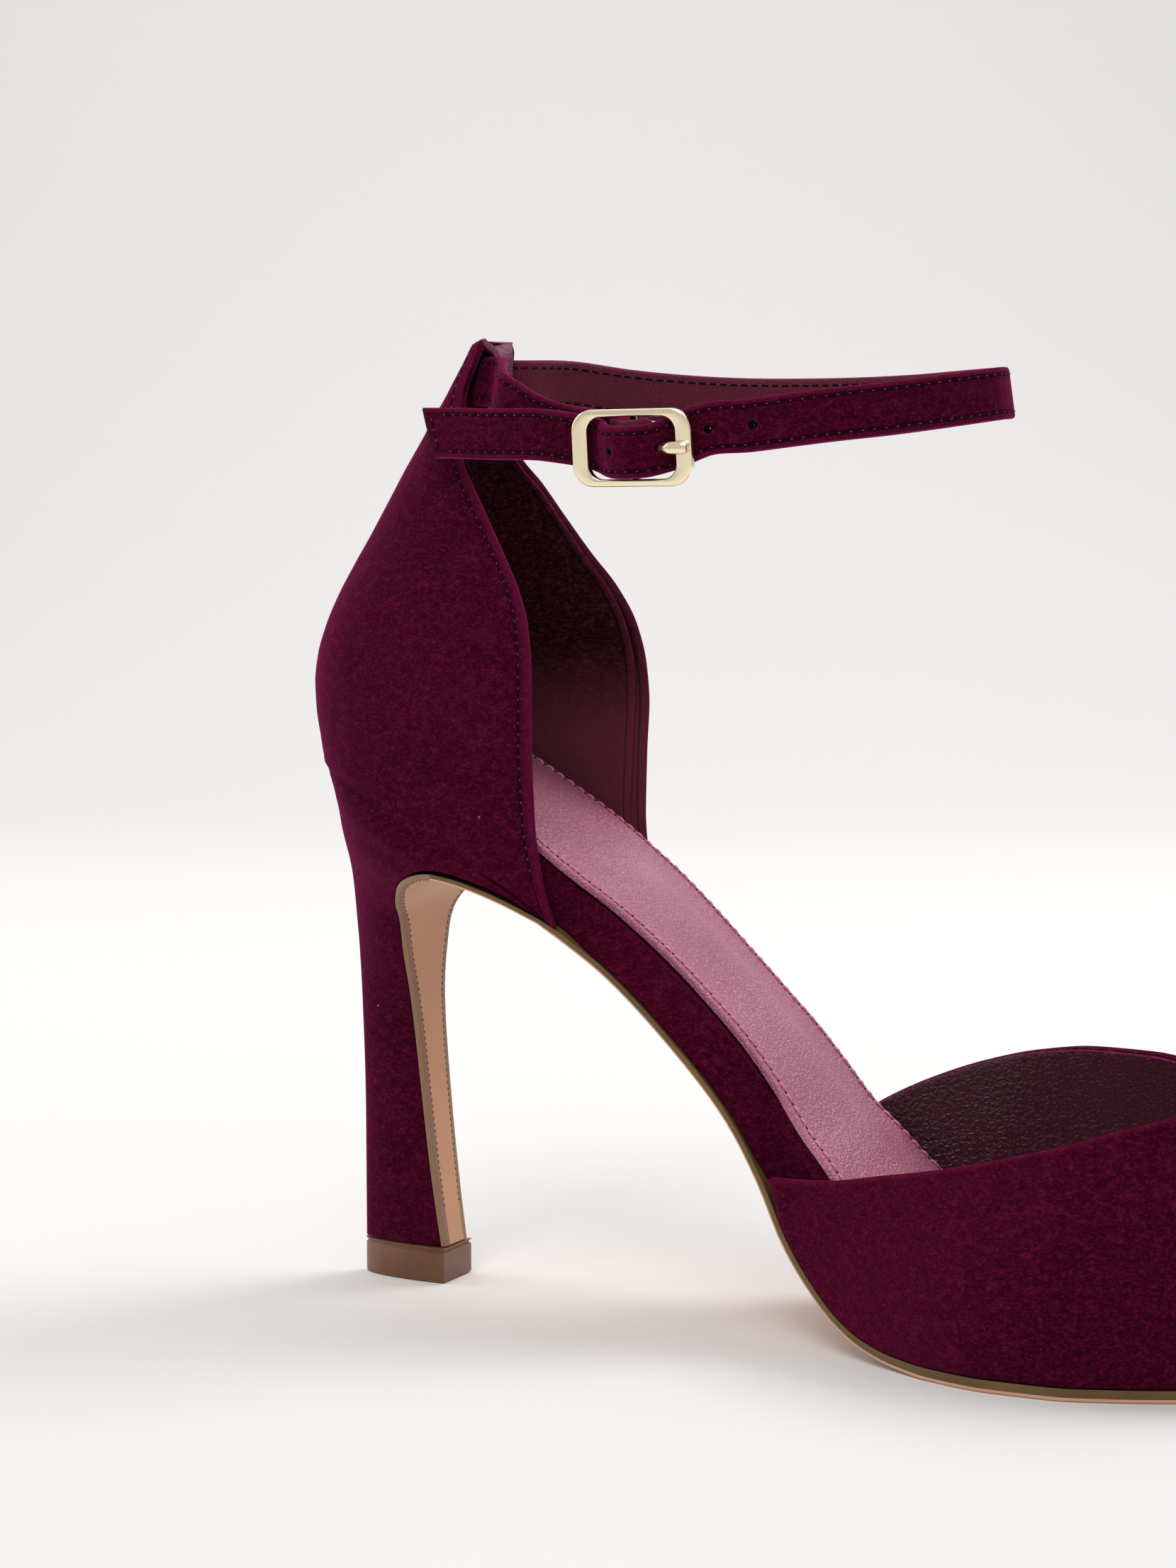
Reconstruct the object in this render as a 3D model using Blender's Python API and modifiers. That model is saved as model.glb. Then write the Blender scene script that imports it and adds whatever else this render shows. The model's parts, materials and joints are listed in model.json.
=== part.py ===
"""Stiletto court shoe in two parts with an ankle strap, right foot, as separate solids.

Metres, +Z up, +X to the toe, +Y to the inner (medial) side. The origin is the centre of
the heel tip's bottom face, and the floor is z = 0.
"""

import math

import bmesh
import bpy
import numpy as np
from mathutils import Matrix, Vector

# Driving sizes
HEEL_HEIGHT = 0.0920
LAST_LENGTH = 0.2125
HEEL_SETBACK = 0.0125
BALL_WIDTH = 0.0730
SEAT_WIDTH = 0.0500
COUNTER_HEIGHT = 0.0732
COUNTER_LEAN = 0.0268
QUARTER_DEPTH = 0.0512
FOOT_STRETCH = 1.2
SETTLE_LEVEL = 0.25
VAMP_START = 0.0775
INSTEP_HEIGHT = 0.0445
THROAT_REACH = 0.1630
TOE_SPRING = 0.0056
TOE_SHIFT = 0.0040
TOE_ROUND = 0.0150
KNEE_RISE = 0.50
KNEE_BACK = 0.07
TOE_RISE = 0.34
TOE_BLEND = 0.72

# Thicknesses and clearances
GAP = 0.0003
WALL = 0.0018
SOLE_THICKNESS = 0.0022
WAIST_SOLE = 0.0014
FLAP_THICKNESS = 0.0010
WRAP_DEPTH = 0.0080
FOOTBED_THICKNESS = 0.0013
FOOTBED_INSET = 0.0008
FOOTBED_EDGE = 0.0005
EDGE_ROUND = 0.0020
SOLE_EDGE = 0.0005
CAP_GAP = 0.0005

# Heel and its top piece
TIP_LENGTH = 0.0181
TIP_WIDTH = 0.0106
TIP_HEIGHT = 0.0062
TIP_FULLNESS = 1.9
TIP_EDGE = 0.0005
BREAST_CURVE = 0.0062
ARCH_RISE = 0.0080
ARCH_CROWN = 0.0150
FLAP_MARGIN = 0.0008
LIP_DEPTH = 0.0061
LIP_END = 0.0372
SHANK_END = 0.0390
SEAT_FULLNESS = 3.3

# Ankle strap
STRAP_WIDTH = 0.0085
STRAP_THICKNESS = 0.0016
LOOP_LENGTH = 0.0945
LOOP_WIDTH = 0.0500
STRAP_SAG = 0.0120
STRAP_RISE = 0.0673
STRAP_HEIGHT = HEEL_HEIGHT + STRAP_RISE
TAIL_SLANT = 0.0036
TAIL_CUT = 0.0100
BAND_EDGE = 0.0005
HOLE_WIDTH = 0.0018
HOLE_PITCH = 0.0073
PRONG_HOLE = 0.0055
LINING_THICKNESS = 0.0011
TAB_LEVEL = 0.904
TAB_SPACE = 0.0022
PATCH_REACH = 0.78
STRAP_SPANS = 3
WRAP_GAP = 0.0005

# Buckle
BUCKLE_LENGTH = 0.0210
BUCKLE_HEIGHT = 0.0125
BUCKLE_SIDE = 0.0028
BUCKLE_RAIL = 0.0012
BUCKLE_THICKNESS = 0.0014
BUCKLE_ROUND = 0.0036
BUCKLE_EDGE = 0.0003
BUCKLE_X = 0.0535
BUCKLE_DROP = 0.0140
BUCKLE_Z = STRAP_HEIGHT - BUCKLE_DROP
BUCKLE_Y = -0.0208
BUCKLE_LEAN = 7.0
FRAME_LIFT = 0.0040
BAR_LIFT = 0.0029
BAR_RADIUS = 0.0007
PRONG_RADIUS = 0.0006
PRONG_CLEARANCE = 0.0003
PRONG_START = -40

# Places along the last where the outline changes
WAIST_FRONT = 0.0700
JOINT_BACK = 0.0840
TREAD_BACK = 0.1120
WAIST_BLEND = 0.0060
VAMP_LEAN = 0.0010
TOE_CLEARANCE = 0.0016

HEEL_END = -HEEL_SETBACK
TOE_END = HEEL_END + LAST_LENGTH
SEAT_FRONT = HEEL_END + QUARTER_DEPTH
RISE = HEEL_HEIGHT - SOLE_THICKNESS
SOLE_WAIST = 0.35
HEEL_ROUNDED = 0.010
SLOPE_STEP = 0.0008
TURN_STEP = 0.01


class Table:
    """Rows with named columns, read through a curve that never overshoots its rows."""

    def __init__(self, columns, rows):
        self.data = {name: np.array([row[i] for row in rows], float) for i, name in enumerate(columns)}
        self.key = self.data[columns[0]]

    def at(self, column, key):
        x, y = self.key, self.data[column]
        h, slope = np.diff(x), np.diff(y) / np.diff(x)
        tangent = np.zeros_like(y)
        for i in range(1, len(x) - 1):
            if slope[i - 1] * slope[i] > 0:
                a, b = 2 * h[i] + h[i - 1], h[i] + 2 * h[i - 1]
                tangent[i] = (a + b) / (a / slope[i - 1] + b / slope[i])
        tangent[0], tangent[-1] = slope[0], slope[-1]
        k = min(max(int(np.searchsorted(x, key)) - 1, 0), len(h) - 1)
        t = (min(max(key, x[0]), x[-1]) - x[k]) / h[k]
        return float((1 + 2 * t) * (1 - t) ** 2 * y[k] + t * (1 - t) ** 2 * h[k] * tangent[k]
                     + t * t * (3 - 2 * t) * y[k + 1] + t * t * (t - 1) * h[k] * tangent[k + 1])


# Last bottom, heel to toe: station along the last, rise of the seat line over the ball,
# toe spring, upright depth of the wrapped board, half widths as shares of the ball width
LAST = Table(
    ("station", "rise", "spring", "board", "lateral", "medial"),
    [
        (0.000, 1.000, 0.00, 0.95, 0.312, 0.312),
        (0.045, 0.978, 0.00, 1.00, 0.312, 0.312),
        (0.091, 0.919, 0.00, 1.22, 0.312, 0.312),
        (0.125, 0.871, 0.00, 1.30, 0.312, 0.312),
        (0.161, 0.824, 0.00, 1.22, 0.312, 0.312),
        (0.199, 0.777, 0.00, 1.10, 0.312, 0.312),
        (0.236, 0.716, 0.00, 1.06, 0.306, 0.305),
        (0.279, 0.635, 0.00, 1.10, 0.276, 0.281),
        (0.334, 0.504, 0.00, 1.26, 0.256, 0.258),
        (0.362, 0.431, 0.00, 1.34, 0.255, 0.256),
        (0.386, 0.360, 0.00, 1.48, 0.262, 0.259),
        (0.410, 0.267, 0.00, 1.76, 0.274, 0.266),
        (0.433, 0.162, 0.00, 2.14, 0.293, 0.275),
        (0.457, 0.092, 0.00, 2.28, 0.320, 0.288),
        (0.480, 0.045, 0.00, 2.15, 0.351, 0.303),
        (0.504, 0.018, 0.00, 1.80, 0.388, 0.330),
        (0.535, 0.003, 0.00, 1.30, 0.434, 0.364),
        (0.566, 0.000, 0.00, 0.95, 0.480, 0.409),
        (0.618, 0.000, 0.00, 0.66, 0.522, 0.460),
        (0.661, 0.000, 0.00, 0.62, 0.525, 0.475),
        (0.704, 0.000, 0.00, 0.62, 0.494, 0.475),
        (0.764, 0.000, 0.00, 0.60, 0.420, 0.436),
        (0.835, 0.000, 0.09, 0.56, 0.302, 0.347),
        (0.906, 0.000, 0.37, 0.52, 0.186, 0.258),
        (0.953, 0.000, 0.66, 0.48, 0.110, 0.199),
        (1.000, 0.000, 1.00, 0.44, 0.040, 0.150),
    ],
)

# Heel block, bottom to top: level over the heel height, how far the back has swept from
# the tip to the seat, and the same level on the front, with the front's half width there
HEEL_BACK = Table(
    ("level", "sweep"),
    [(0.07, 0.00), (0.34, 0.02), (0.55, 0.18), (0.71, 0.36), (0.83, 0.41), (0.93, 0.50), (1.00, 1.00)],
)
BREAST = Table(
    ("level", "hollow", "half"),
    [
        (0.070, 0.02, 0.084), (0.114, 0.12, 0.086), (0.185, 0.27, 0.090), (0.290, 0.46, 0.094),
        (0.380, 0.60, 0.098), (0.470, 0.73, 0.104), (0.545, 0.83, 0.116), (0.630, 0.90, 0.152),
        (0.705, 0.86, 0.196),
    ],
)
HEEL_LEVELS = [
    0.15, 0.24, 0.33, 0.42, 0.50, 0.57, 0.635, 0.690, 0.74, 0.785, 0.825, 0.86, 0.89, 0.92, 0.945,
    0.962, 0.975, 0.984, 0.990,
]
ARCH_HALVES = Table(("turn", "half"), [(0.0, 0.196), (0.3, 0.275), (0.6, 0.370), (1.0, 0.440)])

# Lip of the heel past the crown of the arch: share of the way to its end, and its depth there
LIP = Table(
    ("place", "depth"),
    [(0.0, 1.00), (0.17, 0.72), (0.38, 0.50), (0.57, 0.38), (0.75, 0.24), (0.90, 0.10), (1.0, 0.03)],
)
LIP_PLACES = [0.17, 0.38, 0.62, 0.90]

# Quarter, seat to tab: level at the back, lean of the back, level of the front edge,
# how far forward that edge lies, half width there and fullness of the curve round the heel
QUARTER = Table(
    ("level", "lean", "edge_level", "edge", "half", "fullness"),
    [
        (0.000, 0.000, 0.000, 1.000, 0.456, 3.3),
        (0.054, -0.032, 0.094, 0.950, 0.458, 3.2),
        (0.122, -0.062, 0.185, 0.928, 0.472, 3.1),
        (0.189, -0.072, 0.277, 0.926, 0.488, 3.0),
        (0.257, -0.045, 0.358, 0.930, 0.498, 3.0),
        (0.331, 0.010, 0.430, 0.924, 0.486, 2.9),
        (0.399, 0.084, 0.501, 0.900, 0.456, 2.8),
        (0.473, 0.178, 0.567, 0.846, 0.412, 2.6),
        (0.541, 0.272, 0.628, 0.767, 0.362, 2.4),
        (0.622, 0.398, 0.694, 0.684, 0.322, 2.3),
        (0.689, 0.503, 0.750, 0.615, 0.290, 2.2),
        (0.750, 0.600, 0.801, 0.553, 0.236, 2.1),
        (0.808, 0.692, 0.852, 0.532, 0.200, 2.0),
        (0.872, 0.806, 0.903, 0.533, 0.168, 2.0),
        (0.939, 0.918, 0.954, 0.564, 0.152, 2.0),
        (1.000, 1.010, 0.995, 0.590, 0.140, 2.0),
    ],
)

# Vamp, back edge to toe: place along the feather line, place of the top line above it,
# its height and its half width, and how far the side swells
VAMP_COLUMNS = ("turn", "feather", "top", "height", "half", "swell")
VAMP_LATERAL = Table(
    VAMP_COLUMNS,
    [
        (0.000, 0.000, -0.018, 0.602, 0.292, 0.02),
        (0.060, 0.037, 0.047, 0.610, 0.305, 0.03),
        (0.140, 0.094, 0.123, 0.630, 0.336, 0.05),
        (0.230, 0.167, 0.234, 0.677, 0.380, 0.07),
        (0.320, 0.249, 0.345, 0.723, 0.415, 0.09),
        (0.410, 0.339, 0.462, 0.779, 0.432, 0.11),
        (0.510, 0.437, 0.585, 0.843, 0.425, 0.14),
        (0.610, 0.543, 0.708, 0.918, 0.392, 0.18),
        (0.710, 0.657, 0.819, 0.968, 0.330, 0.24),
        (0.800, 0.763, 0.901, 0.970, 0.245, 0.30),
        (0.880, 0.861, 0.956, 0.962, 0.152, 0.30),
        (0.940, 0.938, 0.985, 0.955, 0.083, 0.20),
        (0.975, 0.984, 0.997, 0.949, 0.036, 0.10),
        (1.000, 1.000, 1.000, 0.946, 0.000, 0.00),
    ],
)
VAMP_MEDIAL = Table(
    VAMP_COLUMNS,
    [
        (0.000, 0.000, -0.006, 0.702, 0.270, 0.02),
        (0.060, 0.037, 0.058, 0.779, 0.290, 0.03),
        (0.140, 0.094, 0.140, 0.855, 0.320, 0.05),
        (0.230, 0.167, 0.240, 0.924, 0.352, 0.07),
        (0.320, 0.249, 0.345, 0.971, 0.378, 0.09),
        (0.410, 0.339, 0.456, 0.993, 0.392, 0.11),
        (0.510, 0.437, 0.579, 0.988, 0.386, 0.14),
        (0.610, 0.543, 0.708, 0.950, 0.350, 0.18),
        (0.710, 0.657, 0.825, 0.920, 0.288, 0.24),
        (0.800, 0.763, 0.906, 0.910, 0.212, 0.30),
        (0.880, 0.861, 0.959, 0.918, 0.137, 0.30),
        (0.940, 0.938, 0.986, 0.932, 0.075, 0.20),
        (0.975, 0.984, 0.997, 0.941, 0.033, 0.10),
        (1.000, 1.000, 1.000, 0.946, 0.000, 0.00),
    ],
)

# Ankle strap: in the tab as shares of its own width, outside as shares of the loop's length and
# width with its drop as a share of the sag, and always the lean of the band in degrees
STRAP_BEND = [
    (0.00, 0.00, 15.0), (0.09, 0.31, 14.0), (0.30, 0.54, 12.0), (0.58, 0.68, 10.0),
]
STRAP_INNER = [
    (0.146, -0.308, 0.50, 8.0),
    (0.205, -0.346, 0.75, 7.0),
    (0.290, -0.385, 0.95, 4.0),
]
STRAP_OUTER = [
    (0.640, -0.440, 0.93, 0.0),
    (0.715, -0.416, 0.86, 2.0),
    (0.785, -0.370, 0.79, 4.0),
    (0.855, -0.296, 0.72, 6.0),
    (0.920, -0.190, 0.63, 8.0),
    (0.970, -0.070, 0.54, 8.0),
    (1.000, 0.050, 0.47, 8.0),
    (0.993, 0.168, 0.44, 8.0),
    (0.950, 0.268, 0.42, 6.0),
    (0.885, 0.350, 0.42, 6.0),
    (0.790, 0.424, 0.44, 5.0),
    (0.675, 0.474, 0.45, 5.0),
    (0.550, 0.500, 0.44, 5.0),
    (0.425, 0.498, 0.41, 6.0),
    (0.315, 0.466, 0.35, 8.0),
    (0.215, 0.408, 0.26, 12.0),
    (0.130, 0.328, 0.15, 16.0),
]
STRAP_TAIL = [
    (0.010, -0.345, 0.93, 6.0),
    (0.080, -0.378, 0.95, 5.0),
    (0.165, -0.416, 0.98, 3.0),
    (0.250, -0.444, 1.00, 1.0),
]

# Strap at the buckle: offset along it in half lengths of the buckle, outward lift in frame
# lifts, and how far the band's middle lies over the buckle's middle in buckle heights
WRAP_RISE = [(-0.86, -0.03, 0.15), (-0.56, -0.03, 0.08), (-0.28, 0.12, 0.03)]
WRAP_MIDDLE = 0.024
WRAP_RETURN = [(-0.20, 0.88, 0.024), (-0.29, 0.72, 0.024), (-0.37, 0.62, 0.024)]
STRAP_WEAVE = [
    (-1.12, 0.50, 0.118), (-0.78, 0.50, 0.070), (-0.60, 0.66, 0.015), (-0.43, 1.06, -0.025),
    (-0.26, 1.46, -0.040), (0.00, 1.72, -0.040), (0.26, 1.46, -0.034), (0.43, 1.06, -0.008),
    (0.60, 0.66, 0.035), (0.78, 0.50, 0.100), (1.12, 0.40, 0.200),
]
HOLE_PLACES = [-1.12, 0.97, 2.00]
PRONG_REACH = [(0.28, 0.95), (0.50, 1.18), (0.70, 1.385), (0.96, 1.385)]

# Rounded shoulder of a plank: how far below its top and how far in from its side
SHOULDER = [(1.00, 0.00), (0.29, 0.29), (0.00, 1.00)]

# Patch over the strap in the tab: up across the band, and inward as a share of its clearance
TAB_PATCH = [
    (-0.66, 0.20), (-0.60, 0.75), (-0.50, 1.00), (-0.20, 1.00),
    (0.20, 1.00), (0.50, 1.00), (0.61, 0.75), (0.68, 0.20),
]


def station(x):
    """Share of the last's length behind x."""
    return (x - HEEL_END) / LAST_LENGTH


def seat_line(x):
    """Height of the line where the upper meets the sole or the heel."""
    s = station(x)
    return SOLE_THICKNESS + LAST.at("rise", s) * RISE + LAST.at("spring", s) * TOE_SPRING


def upright(line, x):
    """Unit vector square to a height line in the plane y = 0."""
    step = SLOPE_STEP
    slope = (line(x + step) - line(x - step)) / (2 * step)
    return Vector((-slope, 0.0, 1.0)).normalized()


def seat_point(x, lift):
    """A point over the seat line, lifted along its normal."""
    return Vector((x, 0.0, seat_line(x))) + upright(seat_line, x) * lift


def sole_depth(x):
    """Thickness of the outsole, thinner at the waist than under the forefoot."""
    return WAIST_SOLE + (SOLE_THICKNESS - WAIST_SOLE) * blend(x, JOINT_BACK, TREAD_BACK)


def heel_round(x):
    """Share of the half width left where the outline rounds the heel."""
    share = min(max((SEAT_FRONT - x) / QUARTER_DEPTH, 0.0), 1.0)
    return (1.0 - share ** SEAT_FULLNESS) ** (1.0 / SEAT_FULLNESS)


def half_width(x, side):
    """Signed distance of the feather line from y = 0 on one side, -1 lateral or 1 medial."""
    column = "medial" if side > 0 else "lateral"
    y = side * LAST.at(column, station(x)) * BALL_WIDTH * heel_round(x)
    share = min(max((x - TOE_END + TOE_ROUND) / TOE_ROUND, 0.0), 1.0)
    return TOE_SHIFT + (y - TOE_SHIFT) * math.sqrt(1.0 - share * share) if share > 0 else y


def blend(x, start, end):
    """Smooth share from 0 at start to 1 at end."""
    t = min(max((x - start) / (end - start), 0.0), 1.0)
    return t * t * (3 - 2 * t)


def board_inset(x):
    """The board lies inside the quarter and the vamp, and reaches the edge at the waist."""
    after_seat = blend(x, SEAT_FRONT, SEAT_FRONT + WAIST_BLEND)
    before_vamp = 1 - blend(x, VAMP_START - WAIST_BLEND, VAMP_START)
    return GAP + (1 - after_seat * before_vamp) * WALL + (1 - before_vamp) * VAMP_LEAN


def spread(start, end, count, ease_start=False, ease_end=False):
    """Stations from start to end, closer together towards an eased end."""
    points = []
    for i in range(count):
        t = i / (count - 1)
        if ease_start and ease_end:
            t = (1 - math.cos(math.pi * t)) / 2
        elif ease_start:
            t = 1 - math.cos(math.pi * t / 2)
        elif ease_end:
            t = math.sin(math.pi * t / 2)
        points.append(start + (end - start) * t)
    return points


def section(across):
    """A ring across the shoe from points in the plane y = 0, each with its own y."""
    return [Vector((point.x, y, point.z)) for point, y in across]


def new_object(name, mesh):
    obj = bpy.data.objects.new(name, mesh)
    SHOE.objects.link(obj)
    return obj


def finish(obj, look, sharp_degrees=40):
    """One material, smooth faces and hard edges above the angle."""
    obj.data.materials.clear()
    obj.data.materials.append(look)
    obj.data.shade_smooth()
    obj.data.set_sharp_from_angle(angle=math.radians(sharp_degrees))
    return obj


def loft(name, rings, look, sharp_degrees=40):
    """A closed solid through rings of points, with a flat cap on each end."""
    count = len(rings[0])
    shape = bmesh.new()
    rows = [[shape.verts.new(point) for point in ring] for ring in rings]
    for near, far in zip(rows, rows[1:]):
        for i in range(count):
            j = (i + 1) % count
            shape.faces.new((near[i], near[j], far[j], far[i]))
    shape.faces.new(rows[0])
    shape.faces.new(rows[-1])
    bmesh.ops.recalc_face_normals(shape, faces=shape.faces)
    mesh = bpy.data.meshes.new(name)
    shape.to_mesh(mesh)
    shape.free()
    return finish(new_object(name, mesh), look, sharp_degrees)


def shell(name, grid, thickness, outward, look, offset=-1.0):
    """A walled solid from an open surface, whose middle face looks along outward."""
    shape = bmesh.new()
    rows = [[shape.verts.new(point) for point in row] for row in grid]
    for near, far in zip(rows, rows[1:]):
        for i in range(len(near) - 1):
            shape.faces.new((near[i], near[i + 1], far[i + 1], far[i]))
    bmesh.ops.recalc_face_normals(shape, faces=shape.faces)
    shape.faces.ensure_lookup_table()
    columns = len(grid[0]) - 1
    middle = shape.faces[(len(grid) - 1) // 2 * columns + columns // 2]
    if middle.normal.dot(outward) < 0:
        bmesh.ops.reverse_faces(shape, faces=shape.faces)
    mesh = bpy.data.meshes.new(name)
    shape.to_mesh(mesh)
    shape.free()
    obj = finish(new_object(name, mesh), look)
    wall = obj.modifiers.new("wall", "SOLIDIFY")
    wall.thickness = thickness
    wall.offset = offset
    wall.use_even_offset = False
    return obj


def cut(obj, cutters):
    """Take each cutter out of obj."""
    for cutter in cutters:
        modifier = obj.modifiers.new("cut " + cutter.name, "BOOLEAN")
        modifier.operation = "DIFFERENCE"
        modifier.object = cutter


def as_cutter(obj):
    """Move a solid to the cutters, drawn as wire and never rendered."""
    for collection in list(obj.users_collection):
        collection.objects.unlink(obj)
    CUTTERS.objects.link(obj)
    obj.hide_render = True
    obj.display_type = "WIRE"
    return obj


def wire(name, points, radius, look, resolution=2):
    """A round wire through points, as a mesh with closed ends."""
    curve = bpy.data.curves.new(name, "CURVE")
    curve.dimensions = "3D"
    curve.bevel_depth = radius
    curve.bevel_resolution = resolution
    curve.use_fill_caps = True
    spline = curve.splines.new("POLY")
    spline.points.add(len(points) - 1)
    for knot, point in zip(spline.points, points):
        knot.co = (*point, 1.0)
    source = bpy.data.objects.new(name + "_curve", curve)
    bpy.context.scene.collection.objects.link(source)
    return mesh_from_curve(name, source, look)


def mesh_from_curve(name, source, look):
    """Replace a curve object with its closed mesh."""
    bpy.context.view_layer.update()
    evaluated = source.evaluated_get(bpy.context.evaluated_depsgraph_get())
    mesh = bpy.data.meshes.new_from_object(evaluated)
    shape = bmesh.new()
    shape.from_mesh(mesh)
    bmesh.ops.remove_doubles(shape, verts=shape.verts, dist=1e-6)
    bmesh.ops.recalc_face_normals(shape, faces=shape.faces)
    shape.to_mesh(mesh)
    shape.free()
    obj = new_object(name, mesh)
    obj.matrix_world = source.matrix_world
    bpy.data.objects.remove(source)
    return finish(obj, look)


def smooth_path(points, per_span):
    """A smooth curve through points: a cubic between each two, with chord-length tangents."""
    knots = [Vector(point) for point in points]
    chords = [(b - a).length for a, b in zip(knots, knots[1:])]
    tangents = [(knots[1] - knots[0]) / chords[0]]
    for i in range(1, len(knots) - 1):
        before = (knots[i] - knots[i - 1]) / chords[i - 1]
        after = (knots[i + 1] - knots[i]) / chords[i]
        share = chords[i - 1] / (chords[i - 1] + chords[i])
        tangents.append(before * (1 - share) + after * share)
    tangents.append((knots[-1] - knots[-2]) / chords[-1])
    path = []
    for i, chord in enumerate(chords):
        for k in range(per_span):
            t = k / per_span
            path.append(knots[i] * (1 + 2 * t) * (1 - t) ** 2 + tangents[i] * (t * (1 - t) ** 2 * chord)
                        + knots[i + 1] * t * t * (3 - 2 * t) + tangents[i + 1] * (t * t * (t - 1) * chord))
    return path + [knots[-1]]


def material(name, colour, roughness, metallic=0.0):
    """A Principled material."""
    made = bpy.data.materials.new(name)
    made.use_nodes = True
    shader = made.node_tree.nodes["Principled BSDF"]
    shader.inputs["Base Color"].default_value = (*colour, 1.0)
    shader.inputs["Roughness"].default_value = roughness
    shader.inputs["Metallic"].default_value = metallic
    return made


# Outsole: underside path from the toe to the arch, then down the heel's front

def breast_point(level):
    """Visible face of the flap on the heel's front, at a level over the heel height."""
    x = TIP_LENGTH / 2 - BREAST.at("hollow", level) * BREAST_CURVE
    return Vector((x, 0.0, level * HEEL_HEIGHT))


def arch_point(turn):
    """Visible face round the arch, turn 0 at the breast's top and 1 at the crown."""
    top = breast_point(BREAST.key[-1])
    span = ARCH_CROWN - top.x
    angle = turn * math.pi / 2
    return Vector((top.x + span * (1 - math.cos(angle)), 0.0, top.z + ARCH_RISE * math.sin(angle)))


def lip_point(place):
    """Visible face of the sole under the heel's lip, place 0 at the crown and 1 at the lip's end."""
    x = ARCH_CROWN + place * (LIP_END - ARCH_CROWN)
    depth = LIP.at("depth", place) * LIP_DEPTH + FLAP_THICKNESS + place * (WAIST_SOLE - FLAP_THICKNESS)
    return Vector((x, 0.0, seat_line(x) - depth))


def flap_path():
    """Visible points, inward normals and half widths, from the heel tip up to the lip's end."""
    points, halves = [], []
    lowest = (TIP_HEIGHT + GAP) / HEEL_HEIGHT
    for level in spread(lowest, BREAST.key[-1], 10):
        points.append(breast_point(level))
        halves.append(BREAST.at("half", level) * SEAT_WIDTH)
    for turn in spread(0, 1, 7)[1:]:
        points.append(arch_point(turn))
        halves.append(ARCH_HALVES.at("half", turn) * SEAT_WIDTH)
    for place in LIP_PLACES:
        points.append(lip_point(place))
        halves.append(half_width(points[-1].x, 1))
    normals = []
    for i in range(len(points)):
        along = points[min(i + 1, len(points) - 1)] - points[max(i - 1, 0)]
        normals.append(Vector((-along.z, 0.0, along.x)).normalized())
    return points, normals, halves


def sole_ring(under, upper, lateral, medial):
    """Cross-section of the sole between an under point and an upper point."""
    chamfer = SOLE_EDGE
    waist = under.lerp(upper, SOLE_WAIST)
    middle = (lateral + medial) / 2
    return section([
        (upper, lateral), (waist, lateral), (under, lateral + chamfer), (under, middle),
        (under, medial - chamfer), (waist, medial), (upper, medial), (upper, middle),
    ])


def build_outsole(look):
    rings = []
    toe_back = TOE_END - TOE_ROUND
    stations = spread(TOE_END - CAP_GAP, toe_back, 8, ease_start=True)
    stations += spread(toe_back, TREAD_BACK, 14)[1:]
    stations += spread(TREAD_BACK, WAIST_FRONT, 12)[1:]
    stations += spread(WAIST_FRONT, SHANK_END, 10)[1:]
    for x in stations:
        upper, under = seat_point(x, -GAP / 2), seat_point(x, -sole_depth(x))
        rings.append(sole_ring(under, upper, half_width(x, -1), half_width(x, 1)))
    points, normals, halves = flap_path()
    for point, normal, half in reversed(list(zip(points, normals, halves))):
        rings.append(sole_ring(point, point + normal * FLAP_THICKNESS, -half, half))
    return loft("outsole", rings, look, 30)


# Heel block: rings from the tip to the seat, each tilted between its back and its front

def heel_ring(back, front, half, fullness, seat_share):
    """Half of a D from the front corner round the back, then mirrored."""
    side = []
    steps = 8
    for i in range(steps + 1):
        angle = i / steps * math.pi / 2
        reach = math.sin(angle) ** (2 / fullness)
        x = front.x + (back.x - front.x) * reach
        y = half * max(math.cos(angle), 0.0) ** (2 / fullness)
        y += seat_share * (half_width(x, 1) - y)
        z = front.z + (back.z - front.z) * reach
        z += seat_share * (seat_line(x) - GAP / 2 - z)
        side.append(Vector((x, 0.0 if i == steps else y, z)))
    return side + [Vector((p.x, -p.y, p.z)) for p in reversed(side[:-1])]


def heel_back(level):
    """Back of the heel at a level over the heel height."""
    x = -TIP_LENGTH / 2 + HEEL_BACK.at("sweep", level) * (HEEL_END + TIP_LENGTH / 2)
    return Vector((x, 0.0, level * HEEL_HEIGHT))


def build_heel(look):
    """Each ring runs from the back of the heel to the flap's inner face, tilting to the seat."""
    points, normals, halves = flap_path()
    fronts = [p + n * (FLAP_THICKNESS + GAP) for p, n in zip(points, normals)]
    bottom = TIP_HEIGHT + GAP
    rings = [heel_ring(heel_back(bottom / HEEL_HEIGHT), Vector((fronts[0].x, 0, bottom)),
                       halves[0], TIP_FULLNESS, 0.0)]
    for i, level in enumerate(HEEL_LEVELS, 1):
        rise = max(2 * i / (len(HEEL_LEVELS) + 1) - 1, 0.0)
        fullness = TIP_FULLNESS + rise * (SEAT_FULLNESS - TIP_FULLNESS) * 0.7
        rings.append(heel_ring(heel_back(level), fronts[i], halves[i] + rise * FLAP_MARGIN,
                               fullness, rise ** 3 * 0.6))
    top_front, top_back = seat_point(LIP_END, -GAP / 2), seat_point(HEEL_END, -GAP / 2)
    rings.append(heel_ring(top_back, top_front, half_width(LIP_END, 1), SEAT_FULLNESS, 1.0))
    return loft("heel", rings, look, 50)


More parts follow.
